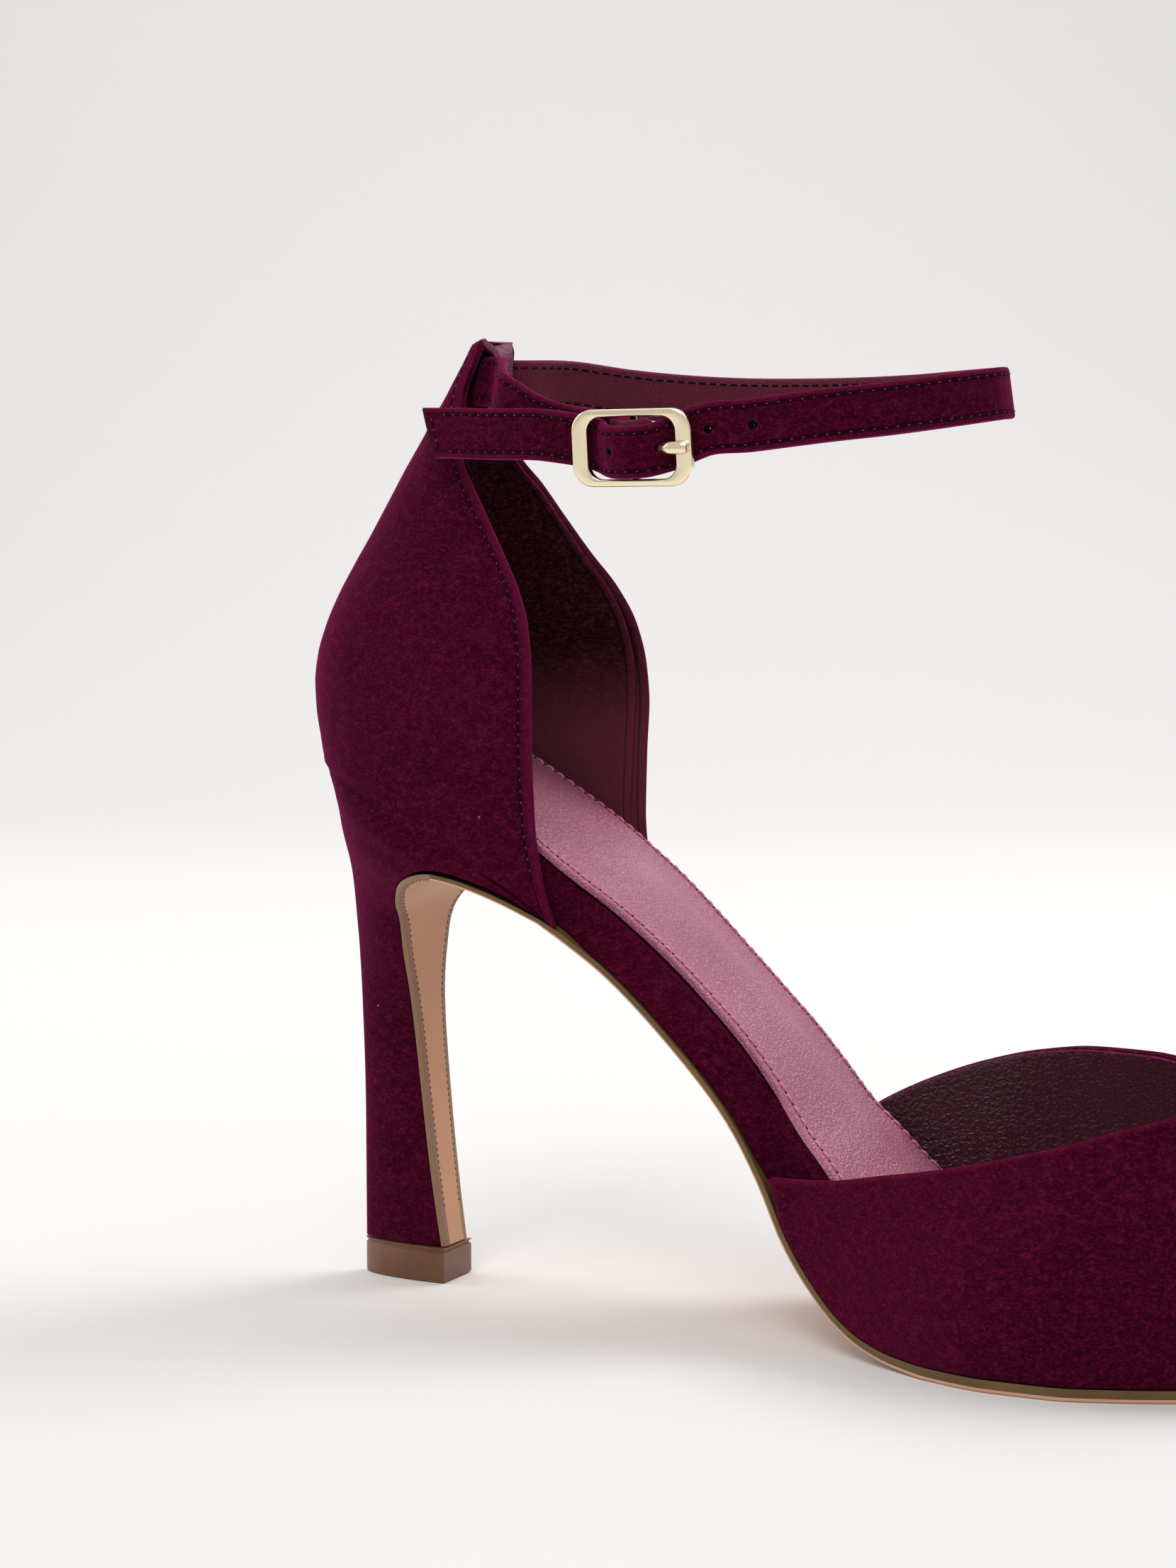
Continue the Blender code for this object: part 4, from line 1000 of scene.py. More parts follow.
@dataclass
class SoleAndHeel:
    """Outsole with its breast flap, the covered heel block and the top piece."""

    last: Last
    looks: Finishes
    tip_length: float = 0.0181
    tip_width: float = 0.0106
    tip_height: float = 0.0062
    tip_fullness: float = 1.9
    tip_edge: float = 0.0005
    flap: float = 0.0010
    flap_margin: float = 0.0008
    margin_strip: float = 0.0011
    sole_edge: float = 0.0005
    sole_strip: float = 0.0004
    sole_waist: float = 0.35
    tip_groove: float = 0.0003
    breast_curve: float = 0.0062
    arch_rise: float = 0.0080
    arch_crown: float = 0.0150
    lip_depth: float = 0.0061
    lip_end: float = 0.0372
    shank_end: float = 0.0390
    heel_swell: float = 0.7
    heel_seat: float = 0.6
    steps: int = 14
    flap_steps: int = 4
    heel_steps: int = 5
    heel_back: Table = field(default_factory=lambda: Table(
        ("level", "sweep"),
        [
            (0.07, 0.00), (0.34, 0.02), (0.55, 0.18), (0.71, 0.36), (0.83, 0.41), (0.93, 0.50),
            (1.00, 1.00),
        ]))
    breast: Table = field(default_factory=lambda: Table(
        ("level", "hollow", "half"),
        [
            (0.070, 0.02, 0.084), (0.114, 0.12, 0.086), (0.185, 0.27, 0.090), (0.290, 0.46, 0.094),
            (0.380, 0.60, 0.098), (0.470, 0.73, 0.104), (0.545, 0.83, 0.116), (0.630, 0.90, 0.152),
            (0.705, 0.86, 0.196),
        ]))
    arch_halves: Table = field(default_factory=lambda: Table(
        ("turn", "half"), [(0.0, 0.196), (0.3, 0.275), (0.6, 0.370), (1.0, 0.440)]))
    lip: Table = field(default_factory=lambda: Table(
        ("place", "depth"),
        [
            (0.0, 1.00), (0.17, 0.72), (0.38, 0.50), (0.57, 0.38), (0.75, 0.24), (0.90, 0.10), (1.0, 0.03),
        ]))
    lip_places: tuple[float, ...] = (0.17, 0.38, 0.62, 0.90)
    heel_levels: tuple[float, ...] = (
        0.15, 0.24, 0.33, 0.42, 0.50, 0.57, 0.635, 0.690, 0.74, 0.785, 0.825, 0.86, 0.89, 0.92, 0.945,
        0.962, 0.975, 0.984, 0.990)

    def breast_point(self, level: float) -> Vector:
        """Visible face of the flap on the heel's front."""
        x = self.tip_length / 2 - self.breast.at("hollow", level) * self.breast_curve
        return Vector((x, 0.0, level * self.last.heel_height))

    def arch_point(self, turn: float) -> Vector:
        """Visible face round the arch.

        Args:
            turn: 0 at the breast's top and 1 at the crown.

        Returns:
            The point at y = 0.
        """
        top = self.breast_point(self.breast.key[-1])
        span = self.arch_crown - top.x
        angle = turn * math.pi / 2
        return Vector((top.x + span * (1 - math.cos(angle)), 0.0, top.z + self.arch_rise * math.sin(angle)))

    def lip_point(self, place: float) -> Vector:
        """Visible face of the sole under the heel's lip.

        Args:
            place: 0 at the crown and 1 at the lip's end.

        Returns:
            The point at y = 0.
        """
        x = self.arch_crown + place * (self.lip_end - self.arch_crown)
        depth = self.lip.at("depth", place) * self.lip_depth + self.flap
        depth += place * (self.last.waist_sole - self.flap)
        return Vector((x, 0.0, self.last.seat_line(x) - depth))

    def flap_path(self) -> tuple[list[Vector], list[Vector], list[float]]:
        """The flap from the heel tip up to the lip's end.

        Returns:
            Visible points, inward normals and half widths.
        """
        seat = self.last.seat_width
        points, halves = [], []
        lowest = (self.tip_height + self.last.gap) / self.last.heel_height
        for level in spread(lowest, self.breast.key[-1], 10):
            points.append(self.breast_point(level))
            halves.append(self.breast.at("half", level) * seat)
        for turn in spread(0, 1, 7)[1:]:
            points.append(self.arch_point(turn))
            halves.append(self.arch_halves.at("half", turn) * seat)
        for place in self.lip_places:
            points.append(self.lip_point(place))
            halves.append(self.last.half_width(points[-1].x, 1))
        normals = []
        for i in range(len(points)):
            along = points[min(i + 1, len(points) - 1)] - points[max(i - 1, 0)]
            normals.append(Vector((-along.z, 0.0, along.x)).normalized())
        return points, normals, halves

    def sole_ring(self, under: Vector, upper: Vector, lateral: float, medial: float,
                  strip: float) -> list[Vector]:
        """A section of the sole.

        Args:
            under: Its lower point at y = 0.
            upper: Its upper point at y = 0.
            lateral: Its outer edge.
            medial: Its inner edge.
            strip: Width of the margin beside each edge.

        Returns:
            The ring of points.
        """
        chamfer = min(self.sole_edge, (medial - lateral) * 0.2)
        inner = min(chamfer + strip, (medial - lateral) * 0.35)
        waist, corner = under.lerp(upper, self.sole_waist), under.lerp(upper, 0.12)
        middle = (lateral + medial) / 2
        across = [
            (upper, lateral), (waist, lateral), (corner, lateral + chamfer * 0.3),
            (under, lateral + chamfer), (under, lateral + inner), (under, middle),
            (under, medial - inner), (under, medial - chamfer), (corner, medial - chamfer * 0.3),
            (waist, medial), (upper, medial), (upper, middle),
        ]
        return [Vector((point.x, y, point.z)) for point, y in across]

    def heel_ring(self, back: Vector, front: Vector, half: float, fullness: float,
                  seat_share: float) -> list[Vector]:
        """A ring of the heel, a D that tilts from its back to its front.

        Args:
            back: Its back point.
            front: The middle of its front.
            half: Its half width at the front.
            fullness: How full the D is.
            seat_share: How far it has turned into the seat's outline.

        Returns:
            The ring of points.
        """
        side = []
        for i in range(self.steps + 1):
            angle = i / self.steps * math.pi / 2
            reach = math.sin(angle) ** (2 / fullness)
            x = front.x + (back.x - front.x) * reach
            y = half * max(math.cos(angle), 0.0) ** (2 / fullness)
            y += seat_share * (self.last.half_width(x, 1) - y)
            z = front.z + (back.z - front.z) * reach
            z += seat_share * (self.last.seat_line(x) + self.last.gap / 2 - z)
            side.append(Vector((x, 0.0 if i == self.steps else y, z)))
        return side + [Vector((p.x, -p.y, p.z)) for p in reversed(side[:-1])]

    def outsole(self) -> None:
        """Build the outsole, tan below and brown at its edge."""
        last = self.last
        toe_back = last.toe_end - last.toe_round
        stations = spread(last.toe_end - last.cap_gap, toe_back, 14, ease_start=True)
        stations += spread(toe_back, last.tread_back, 34)[1:]
        stations += spread(last.tread_back, last.waist_front, 30)[1:]
        stations += spread(last.waist_front, self.shank_end, 22)[1:]
        rings = []
        for x in stations:
            upper, under = last.seat_point(x, -last.gap / 2), last.seat_point(x, -last.sole_depth(x))
            rings.append(self.sole_ring(under, upper, last.half_width(x, -1), last.half_width(x, 1),
                                        self.sole_strip))
        sole_rings = len(rings)
        points, normals, halves = self.flap_path()
        flap = []
        for point, normal, half in reversed(list(zip(points, normals, halves))):
            flap.append(self.sole_ring(point, point + normal * self.flap, -half, half, self.margin_strip))
        rings += refine(flap, self.flap_steps)
        edge, strip = (0, 9, 10, 11), (1, 2, 3, 6, 7, 8)
        flap_start = sole_rings + self.flap_steps * len(self.lip_places)

        def pick(ring: int, segment: int) -> int:
            """The material of a face.

            Args:
                ring: The ring's number.
                segment: The segment's number.

            Returns:
                0 for the underside, 1 the edge, 2 the flap's margin and 3 the flap.
            """
            if ring < flap_start:
                return 1 if segment in edge else 0
            return 2 if segment in edge + strip else 3

        looks = self.looks
        made = loft("outsole_leather", rings, [looks.sole, looks.sole_edge, looks.flap_margin, looks.flap],
                    pick, 35)
        settle(made, Slot.SOLE, "outsole")

    def heel(self) -> None:
        """Build the covered heel block."""
        last = self.last
        points, normals, halves = self.flap_path()
        fronts = [p + n * (self.flap + last.gap) for p, n in zip(points, normals)]
        bottom = self.tip_height + last.gap

        def back(level: float) -> Vector:
            """The heel's back at a level."""
            half = self.tip_length / 2
            x = -half + self.heel_back.at("sweep", level) * (last.heel_end + half)
            return Vector((x, 0.0, level * last.heel_height))

        rings = [self.heel_ring(back(bottom / last.heel_height), Vector((fronts[0].x, 0, bottom)),
                                halves[0], self.tip_fullness, 0.0)]
        for i, level in enumerate(self.heel_levels, 1):
            rise = max(2 * i / (len(self.heel_levels) + 1) - 1, 0.0)
            fullness = self.tip_fullness + rise * (last.seat_fullness - self.tip_fullness) * self.heel_swell
            rings.append(self.heel_ring(back(level), fronts[i], halves[i] + rise * self.flap_margin,
                                        fullness, rise ** 3 * self.heel_seat))
        top_front = last.seat_point(self.lip_end, last.gap / 2)
        top_back = last.seat_point(last.heel_end, last.gap / 2)
        rings.append(self.heel_ring(top_back, top_front, last.half_width(self.lip_end, 1),
                                    last.seat_fullness, 1.0))
        made = loft("heel_cover", refine(rings, self.heel_steps), [self.looks.suede], None, 50)
        settle(made, Slot.SUEDE, "heel")

    def top_piece(self) -> None:
        """Build the moulded top piece."""
        rings = []
        top, groove = self.tip_height, self.tip_groove
        levels = [(0.0, self.tip_edge), (self.tip_edge * 0.3, self.tip_edge * 0.3), (self.tip_edge, 0.0),
                  (top - 0.0009, 0.0), (top - 0.0007, groove), (top - 0.0004, groove), (top - 0.0002, 0.0),
                  (top, 0.0)]
        for z, inset in levels:
            end = self.tip_length / 2 - inset
            rings.append(self.heel_ring(Vector((-end, 0, z)), Vector((end, 0, z)),
                                        self.tip_width / 2 - inset, self.tip_fullness, 0.0))
        made = loft("top_piece", rings, [self.looks.tip], None, 30)
        settle(made, Slot.TIP, "heel_tip")

    def flap_dots(self) -> None:
        """Build the fine pricked line inside the flap's margin."""
        points, normals, halves = self.flap_path()
        dots = Thread(radius=0.00010, pitch=0.0011, share=0.35, sides=5, lift=0.4)
        paths = []
        inner = self.sole_edge + self.margin_strip
        for side in Side:
            path = [(Vector((p.x, side.value * (half - inner), p.z)), -n)
                    for p, n, half in zip(points[1:-4], normals[1:-4], halves[1:-4])]
            columns = list(zip(smooth_path([p for p, _ in path], 6), smooth_path([n for _, n in path], 6)))
            paths.append(columns)
        settle(dots.sew("flap_pricking", paths, self.looks.dot), Slot.SOLE)

    def build(self) -> None:
        """Build every piece of the bottom."""
        self.outsole()
        self.heel()
        self.top_piece()
        self.flap_dots()


# Insole

@dataclass
class Insole:
    """The wrapped board and the leather footbed with its stitched border."""

    last: Last
    looks: Finishes
    wrap_depth: float = 0.0080
    edge_round: float = 0.0020
    waist_blend: float = 0.0060
    vamp_lean: float = 0.0010
    toe_clearance: float = 0.0016
    heel_rounded: float = 0.010
    footbed: float = 0.0013
    footbed_inset: float = 0.0008
    footbed_edge: float = 0.0005
    edge_line: float = 0.0005
    ridge: float = 0.0010
    stitch_inset: float = 0.0014
    corner_steps: int = 5

    def bed_line(self, x: float) -> float:
        """Height of the top of the wrapped board."""
        return self.last.seat_line(x) + self.last.table.at("board", self.last.station(x)) * self.wrap_depth

    def bed_point(self, x: float, lift: float) -> Vector:
        """A point over the board's top, lifted along its normal."""
        return Vector((x, 0.0, self.bed_line(x))) + self.last.upright(self.bed_line, x) * lift

    def board_inset(self, x: float) -> float:
        """How far the board's edge lies inside the feather line.

        Args:
            x: Place along the shoe.

        Returns:
            The distance, wall and lean in where an upper piece stands.
        """
        last = self.last
        after_seat = blend(x, last.seat_front, last.seat_front + self.waist_blend)
        before_vamp = 1 - blend(x, last.vamp_start - self.waist_blend, last.vamp_start)
        return last.gap + (1 - after_seat * before_vamp) * last.wall + (1 - before_vamp) * self.vamp_lean

    def inset_edge(self, x: float, side: int, inset: float) -> float:
        """The feather line pulled in by inset.

        Args:
            x: Place along the shoe.
            side: -1 for the outer side, 1 for the inner.
            inset: How far it is pulled in.

        Returns:
            The signed distance from y = 0.
        """
        last = self.last
        outer_x = last.heel_end + (x - last.heel_end - inset) * last.length / (last.length - 2 * inset)
        y = last.half_width(outer_x, side)
        toe = last.toe_end
        centre = last.half_width(toe, 1) * blend(x, toe - 2 * last.toe_round, toe)
        reach = abs(y - centre)
        kept = max(reach - inset * min(1.0, reach / self.waist_blend), last.cap_gap / 2)
        return centre + math.copysign(kept, side)

    def stations(self, inset: float) -> list[float]:
        """Stations of the board or the footbed.

        Args:
            inset: How far both ends lie inside the last's.

        Returns:
            The places along the shoe.
        """
        last = self.last
        heel, toe = last.heel_end + inset, last.toe_end - inset - self.toe_clearance
        toe_back = toe - last.toe_round
        places = spread(heel, self.heel_rounded, 20, ease_start=True)
        places += spread(self.heel_rounded, last.waist_front, 34)[1:]
        places += spread(last.waist_front, last.tread_back, 40)[1:]
        places += spread(last.tread_back, toe_back, 24)[1:]
        return places + spread(toe_back, toe - last.cap_gap, 14, ease_end=True)[1:]

    def plank_ring(self, x: float, base: Vector, top: float, shoulder: float, lateral: float,
                   medial: float, ridge: float) -> list[Vector]:
        """A section of a plank on the bed line.

        Args:
            x: Place along the shoe.
            base: Its base point at y = 0.
            top: Height of its top over the bed line.
            shoulder: Radius of its upper corners.
            lateral: Its outer edge.
            medial: Its inner edge.
            ridge: Height of its soft ridge along the inner third.

        Returns:
            The ring of points.
        """
        radius = min(shoulder, (medial - lateral) * 0.4)
        curve = []
        for i in range(self.corner_steps + 1):
            angle = i / self.corner_steps * math.pi / 2
            curve.append((top - radius * (1 - math.sin(angle)), radius * (1 - math.cos(angle))))
        lift = self.last.upright(self.bed_line, x)
        line = self.bed_point(x, self.edge_line)
        across = [(base, lateral), (line, lateral)]
        across += [(self.bed_point(x, height), lateral + inner) for height, inner in curve]
        flat_start, flat_end = lateral + radius, medial - radius
        for share in spread(0.0, 1.0, 22)[1:-1]:
            crown = ridge * blend(share, 0.08, 0.50) * (1 - blend(share, 0.60, 0.80))
            y = flat_start + share * (flat_end - flat_start)
            across.append((self.bed_point(x, top) + lift * crown, y))
        across += [(self.bed_point(x, height), medial - inner) for height, inner in reversed(curve)]
        across += [(line, medial), (base, medial), (base, (lateral + medial) / 2)]
        return [Vector((point.x, y, point.z)) for point, y in across]

    def board(self) -> None:
        """Build the suede-wrapped board."""
        last = self.last
        rings = []
        inset = last.wall + 2 * last.gap
        for x in self.stations(inset):
            outward = inset - last.gap - self.board_inset(x)
            lateral = self.inset_edge(x, -1, inset) - outward
            medial = self.inset_edge(x, 1, inset) + outward
            rings.append(self.plank_ring(x, last.seat_point(x, last.gap / 2), 0.0, self.edge_round,
                                         lateral, medial, 0.0))
        settle(loft("insole_wrap", rings, [self.looks.suede], None, 50), Slot.SUEDE, "insole_board")

    def sock(self) -> None:
        """Build the leather footbed with its black edge."""
        last = self.last
        rings = []
        inset = last.wall + 2 * last.gap + self.footbed_inset
        for x in self.stations(inset):
            fade = blend(x, last.seat_front - 0.02, last.seat_front + 0.01) * (
                1 - blend(x, last.tread_back - 0.01, last.tread_back + 0.02))
            rings.append(self.plank_ring(x, self.bed_point(x, last.gap), self.footbed + last.gap,
                                         self.footbed_edge, self.inset_edge(x, -1, inset),
                                         self.inset_edge(x, 1, inset), self.ridge * fade))
        sides = (0, len(rings[0]) - 3)
        made = loft("footbed_sock", rings, [self.looks.footbed, self.looks.black_edge],
                    lambda ring, segment: 1 if segment in sides else 0, 50)
        settle(made, Slot.FOOTBED, "footbed")

    def border(self) -> None:
        """Sew the footbed's border."""
        last = self.last
        inset = last.wall + 2 * last.gap + self.footbed_inset + self.stitch_inset
        paths = []
        for side in Side:
            path = []
            for x in self.stations(inset):
                point = self.bed_point(x, self.footbed + last.gap)
                point.y = self.inset_edge(x, side.value, inset)
                path.append((point, last.upright(self.bed_line, x)))
            paths.append(path[2:-6])
        thread = Thread(radius=0.00028, pitch=0.0023, share=0.74, lift=0.8)
        # Dark pricks between the pink stitches: painted shade at the needle holes.
        settle(Thread(radius=0.00014, pitch=0.0023, share=0.22, lift=0.3, phase=0.5).sew(
            "footbed_pricking", paths, self.looks.thread), Slot.FOOTBED)
        settle(thread.sew("footbed_stitching", paths, self.looks.pink_thread), Slot.FOOTBED)

    def build(self) -> None:
        """Build the insole's pieces."""
        self.board()
        self.sock()
        self.border()


# Upper

def sew_seam(name: str, paths: Sequence[Seam], looks: Finishes) -> None:
    """Sew a seam sunk in suede: dark stitches, their near-black partly painted shade of the sunk seam, and a
    small pale painted highlight between each two.

    Args:
        name: Name of the seam's part.
        paths: Its paths with the surface's normals.
        looks: The materials.
    """
    dark = Thread(radius=0.00016, pitch=0.0019, share=0.66, lift=0.1)
    glint = Thread(radius=0.00008, pitch=0.0019, share=0.22, lift=0.9, phase=0.5)
    settle(dark.sew(f"{name}_stitching", paths, looks.thread), Slot.SUEDE)
    settle(glint.sew(f"{name}_glints", paths, looks.glint), Slot.SUEDE)


@dataclass(frozen=True)
class Layers:
    """The two layers of an upper: suede outside and a lining set back inside it."""

    last: Last
    looks: Finishes
    leather: float = 0.0010
    lining: float = 0.0006
    rim_round: float = 0.00042
    lining_round: float = 0.00015

    def build(self, node: str, grid: Callable[[float], Grid], setback: float, outward: Vector,
              outside: Material, inside: Material) -> None:
        """Build both layers of an upper.

        Args:
            node: The solid that they stand for.
            grid: Gives the outer surface, set back from its edges by a share.
            setback: The lining's share.
            outward: Rough outward direction at the middle.
            outside: Material of the suede.
            inside: Material of the lining.
        """
        suede = wall_piece(f"{node}_suede", grid(0.0), self.leather, outward,
                           [outside, inside, outside], self.rim_round)
        settle(suede, Slot.SUEDE, node)
        cut = self.looks.cut_suede
        inner = offset_grid(grid(setback), self.last.wall - self.lining, outward)
        lining = wall_piece(f"{node}_lining", inner, self.lining, outward, [cut, inside, cut],
                            self.lining_round)
        settle(lining, Slot.LINING)


@dataclass
class Quarter:
    """The hollow back upper with its counter and tab: suede outside, lining inside."""

    last: Last
    looks: Finishes
    counter_height: float = 0.0732
    counter_lean: float = 0.0268
    foot_stretch: float = 1.2
    settle_level: float = 0.25
    stitch_inset: float = 0.0021
    seam_start: int = 4
    turn_step: float = 0.01
    crowding: float = 1.35
    lining_setback: float = 0.006
    roll_level: float = 0.970
    roll_depth: float = 0.0020
    roll_turn: float = 1.35
    tab_round: float = 0.955
    tab_narrow: float = 0.45
    levels: int = 84
    turns: int = 40
    table: Table = field(default_factory=lambda: Table(
        ("level", "lean", "edge_level", "edge", "half", "fullness"),
        [
            (0.000, 0.000, 0.000, 1.000, 0.456, 3.3),
            (0.054, -0.032, 0.094, 0.950, 0.458, 3.2),
            (0.122, -0.062, 0.185, 0.928, 0.472, 3.1),
            (0.189, -0.072, 0.277, 0.926, 0.488, 3.0),
            (0.257, -0.045, 0.358, 0.930, 0.498, 3.0),
            (0.331, 0.010, 0.430, 0.924, 0.486, 2.9),
            (0.399, 0.084, 0.501, 0.900, 0.456, 2.8),
            (0.473, 0.178, 0.567, 0.846, 0.412, 2.6),
            (0.541, 0.272, 0.628, 0.767, 0.362, 2.4),
            (0.622, 0.398, 0.694, 0.684, 0.322, 2.3),
            (0.689, 0.503, 0.750, 0.615, 0.290, 2.2),
            (0.750, 0.600, 0.801, 0.553, 0.236, 2.1),
            (0.808, 0.692, 0.852, 0.532, 0.200, 2.0),
            (0.872, 0.806, 0.903, 0.533, 0.168, 2.0),
            (0.939, 0.918, 0.954, 0.564, 0.152, 2.0),
            (1.000, 1.010, 0.995, 0.590, 0.140, 2.0),
        ]))

    def point(self, level: float, turn: float) -> Vector:
        """A point on the quarter's outer surface.

        Args:
            level: 0 at the seat and 1 at the tab.
            turn: -1 at the outer front edge, 0 at the back and 1 at the inner front edge.

        Returns:
            The point.
        """
        last, table = self.last, self.table
        angle = (1 - abs(turn)) * math.pi / 2
        fullness = table.at("fullness", level)
        forward = max(math.cos(angle), 0.0)
        reach = math.sin(angle) ** (2 / fullness) if angle > 0 else 0.0
        back = last.heel_end + table.at("lean", level) * self.counter_lean
        edge = last.heel_end + table.at("edge", level) * last.quarter_depth
        x = edge + (back - edge) * reach
        y = math.copysign(table.at("half", level) * last.seat_width * forward ** (2 / fullness), turn)
        edge_foot = last.seat_line(last.seat_front)
        z_back = last.heel_height + level * self.counter_height
        whole = last.heel_height + self.counter_height - edge_foot
        z_edge = edge_foot + table.at("edge_level", level) * whole
        z = z_edge + (z_back - z_edge) * reach
        seated = last.seat_line(x) + last.gap / 2 + level * self.counter_height * self.foot_stretch
        seat = max(1 - level / self.settle_level, 0.0) ** 2
        return Vector((x, y, z + seat * (seated - z)))

    def inside(self, level: float, turn: float, depth: float) -> Vector:
        """A point inside the quarter.

        Args:
            level: 0 at the seat and 1 at the tab.
            turn: -1 to 1, as for a point of the outer surface.
            depth: How far in from that surface.

        Returns:
            The point.
        """
        step = self.turn_step
        up = self.point(level, turn) - self.point(level - step, turn)
        round_heel = self.point(level, turn + step) - self.point(level, turn - step)
        inward = up.cross(round_heel).normalized()
        return self.point(level, turn) + (inward if inward.x > 0 else -inward) * depth

    def grid(self, setback: float) -> Grid:
        """The outer surface as a grid.

        Args:
            setback: Share by which it ends before its free edges.

        Returns:
            Rows of points, from the seat to the rolled top of the tab.
        """
        rows = []
        top = 1.0 - setback * 0.5
        for level in spread(0.0, self.roll_level, self.levels) + spread(self.roll_level, top, 9)[1:]:
            corner = max((level - self.tab_round) / (1 - self.tab_round), 0.0)
            reach = (1.0 - setback) * (1 - self.tab_narrow * (1 - math.sqrt(1 - corner * corner)))
            turns = [math.copysign(1 - (1 - abs(i) / self.turns) ** self.crowding, i) * reach
                     for i in range(-self.turns, self.turns + 1)]
            rolled = max((level - self.roll_level) / (1 - self.roll_level), 0.0) * self.roll_turn
            if rolled > 0:
                rise = self.roll_level + (1 - self.roll_level) * math.sin(rolled)
                depth = self.roll_depth * (1 - math.cos(rolled))
                rows.append([self.inside(rise, turn, depth) for turn in turns])
            else:
                rows.append([self.point(level, turn) for turn in turns])
        return rows

    def seam(self) -> list[tuple[Vector, Vector]]:
        """The sewn line inside the free edge, from the outer foot over the tab to the inner foot.

        Returns:
            Points with the surface's normals.
        """
        grid = self.grid(0.0)
        normals = grid_normals(grid)
        middle = normals[len(grid) // 2][len(grid[0]) // 2]
        sign = 1.0 if middle[0] < 0 else -1.0
        top = len(grid) - 1
        lengths = [(grid[top][self.turns] - grid[r][self.turns]).length for r in range(len(grid))]
        high = max(r for r in range(len(grid)) if lengths[r] > self.stitch_inset)
        path: list[tuple[Vector, Vector]] = []

        def edge_column(r: int, side: int) -> tuple[Vector, Vector]:
            """The sewn point of a row.

            Args:
                r: The row's number.
                side: -1 for the outer side, 1 for the inner.

            Returns:
                The point with the surface's normal.
            """
            end = 0 if side < 0 else len(grid[0]) - 1
            c, walked = end, 0.0
            while walked < self.stitch_inset:
                step = (grid[r][c] - grid[r][c - side]).length
                if walked + step >= self.stitch_inset:
                    t = (self.stitch_inset - walked) / step
                    spot = grid[r][c].lerp(grid[r][c - side], t)
                    return spot, Vector(normals[r][c]) * sign
                walked += step
                c -= side
            return grid[r][c], Vector(normals[r][c]) * sign

        for r in range(self.seam_start, high + 1):
            path.append(edge_column(r, -1))
        start, end = path[-1], edge_column(high, 1)
        for c in range(len(grid[0])):
            spot = grid[high][c]
            if start[0].y < spot.y < end[0].y:
                path.append((spot, Vector(normals[high][c]) * sign))
        for r in range(high, self.seam_start - 1, -1):
            path.append(edge_column(r, 1))
        return path

    def build(self) -> None:
        """Build the suede layer, the lining layer and the edge seam."""
        Layers(self.last, self.looks).build("quarter", self.grid, self.lining_setback, Vector((-1, 0, 0)),
                                            self.looks.suede, self.looks.grip)
        sew_seam("quarter", [self.seam()], self.looks)


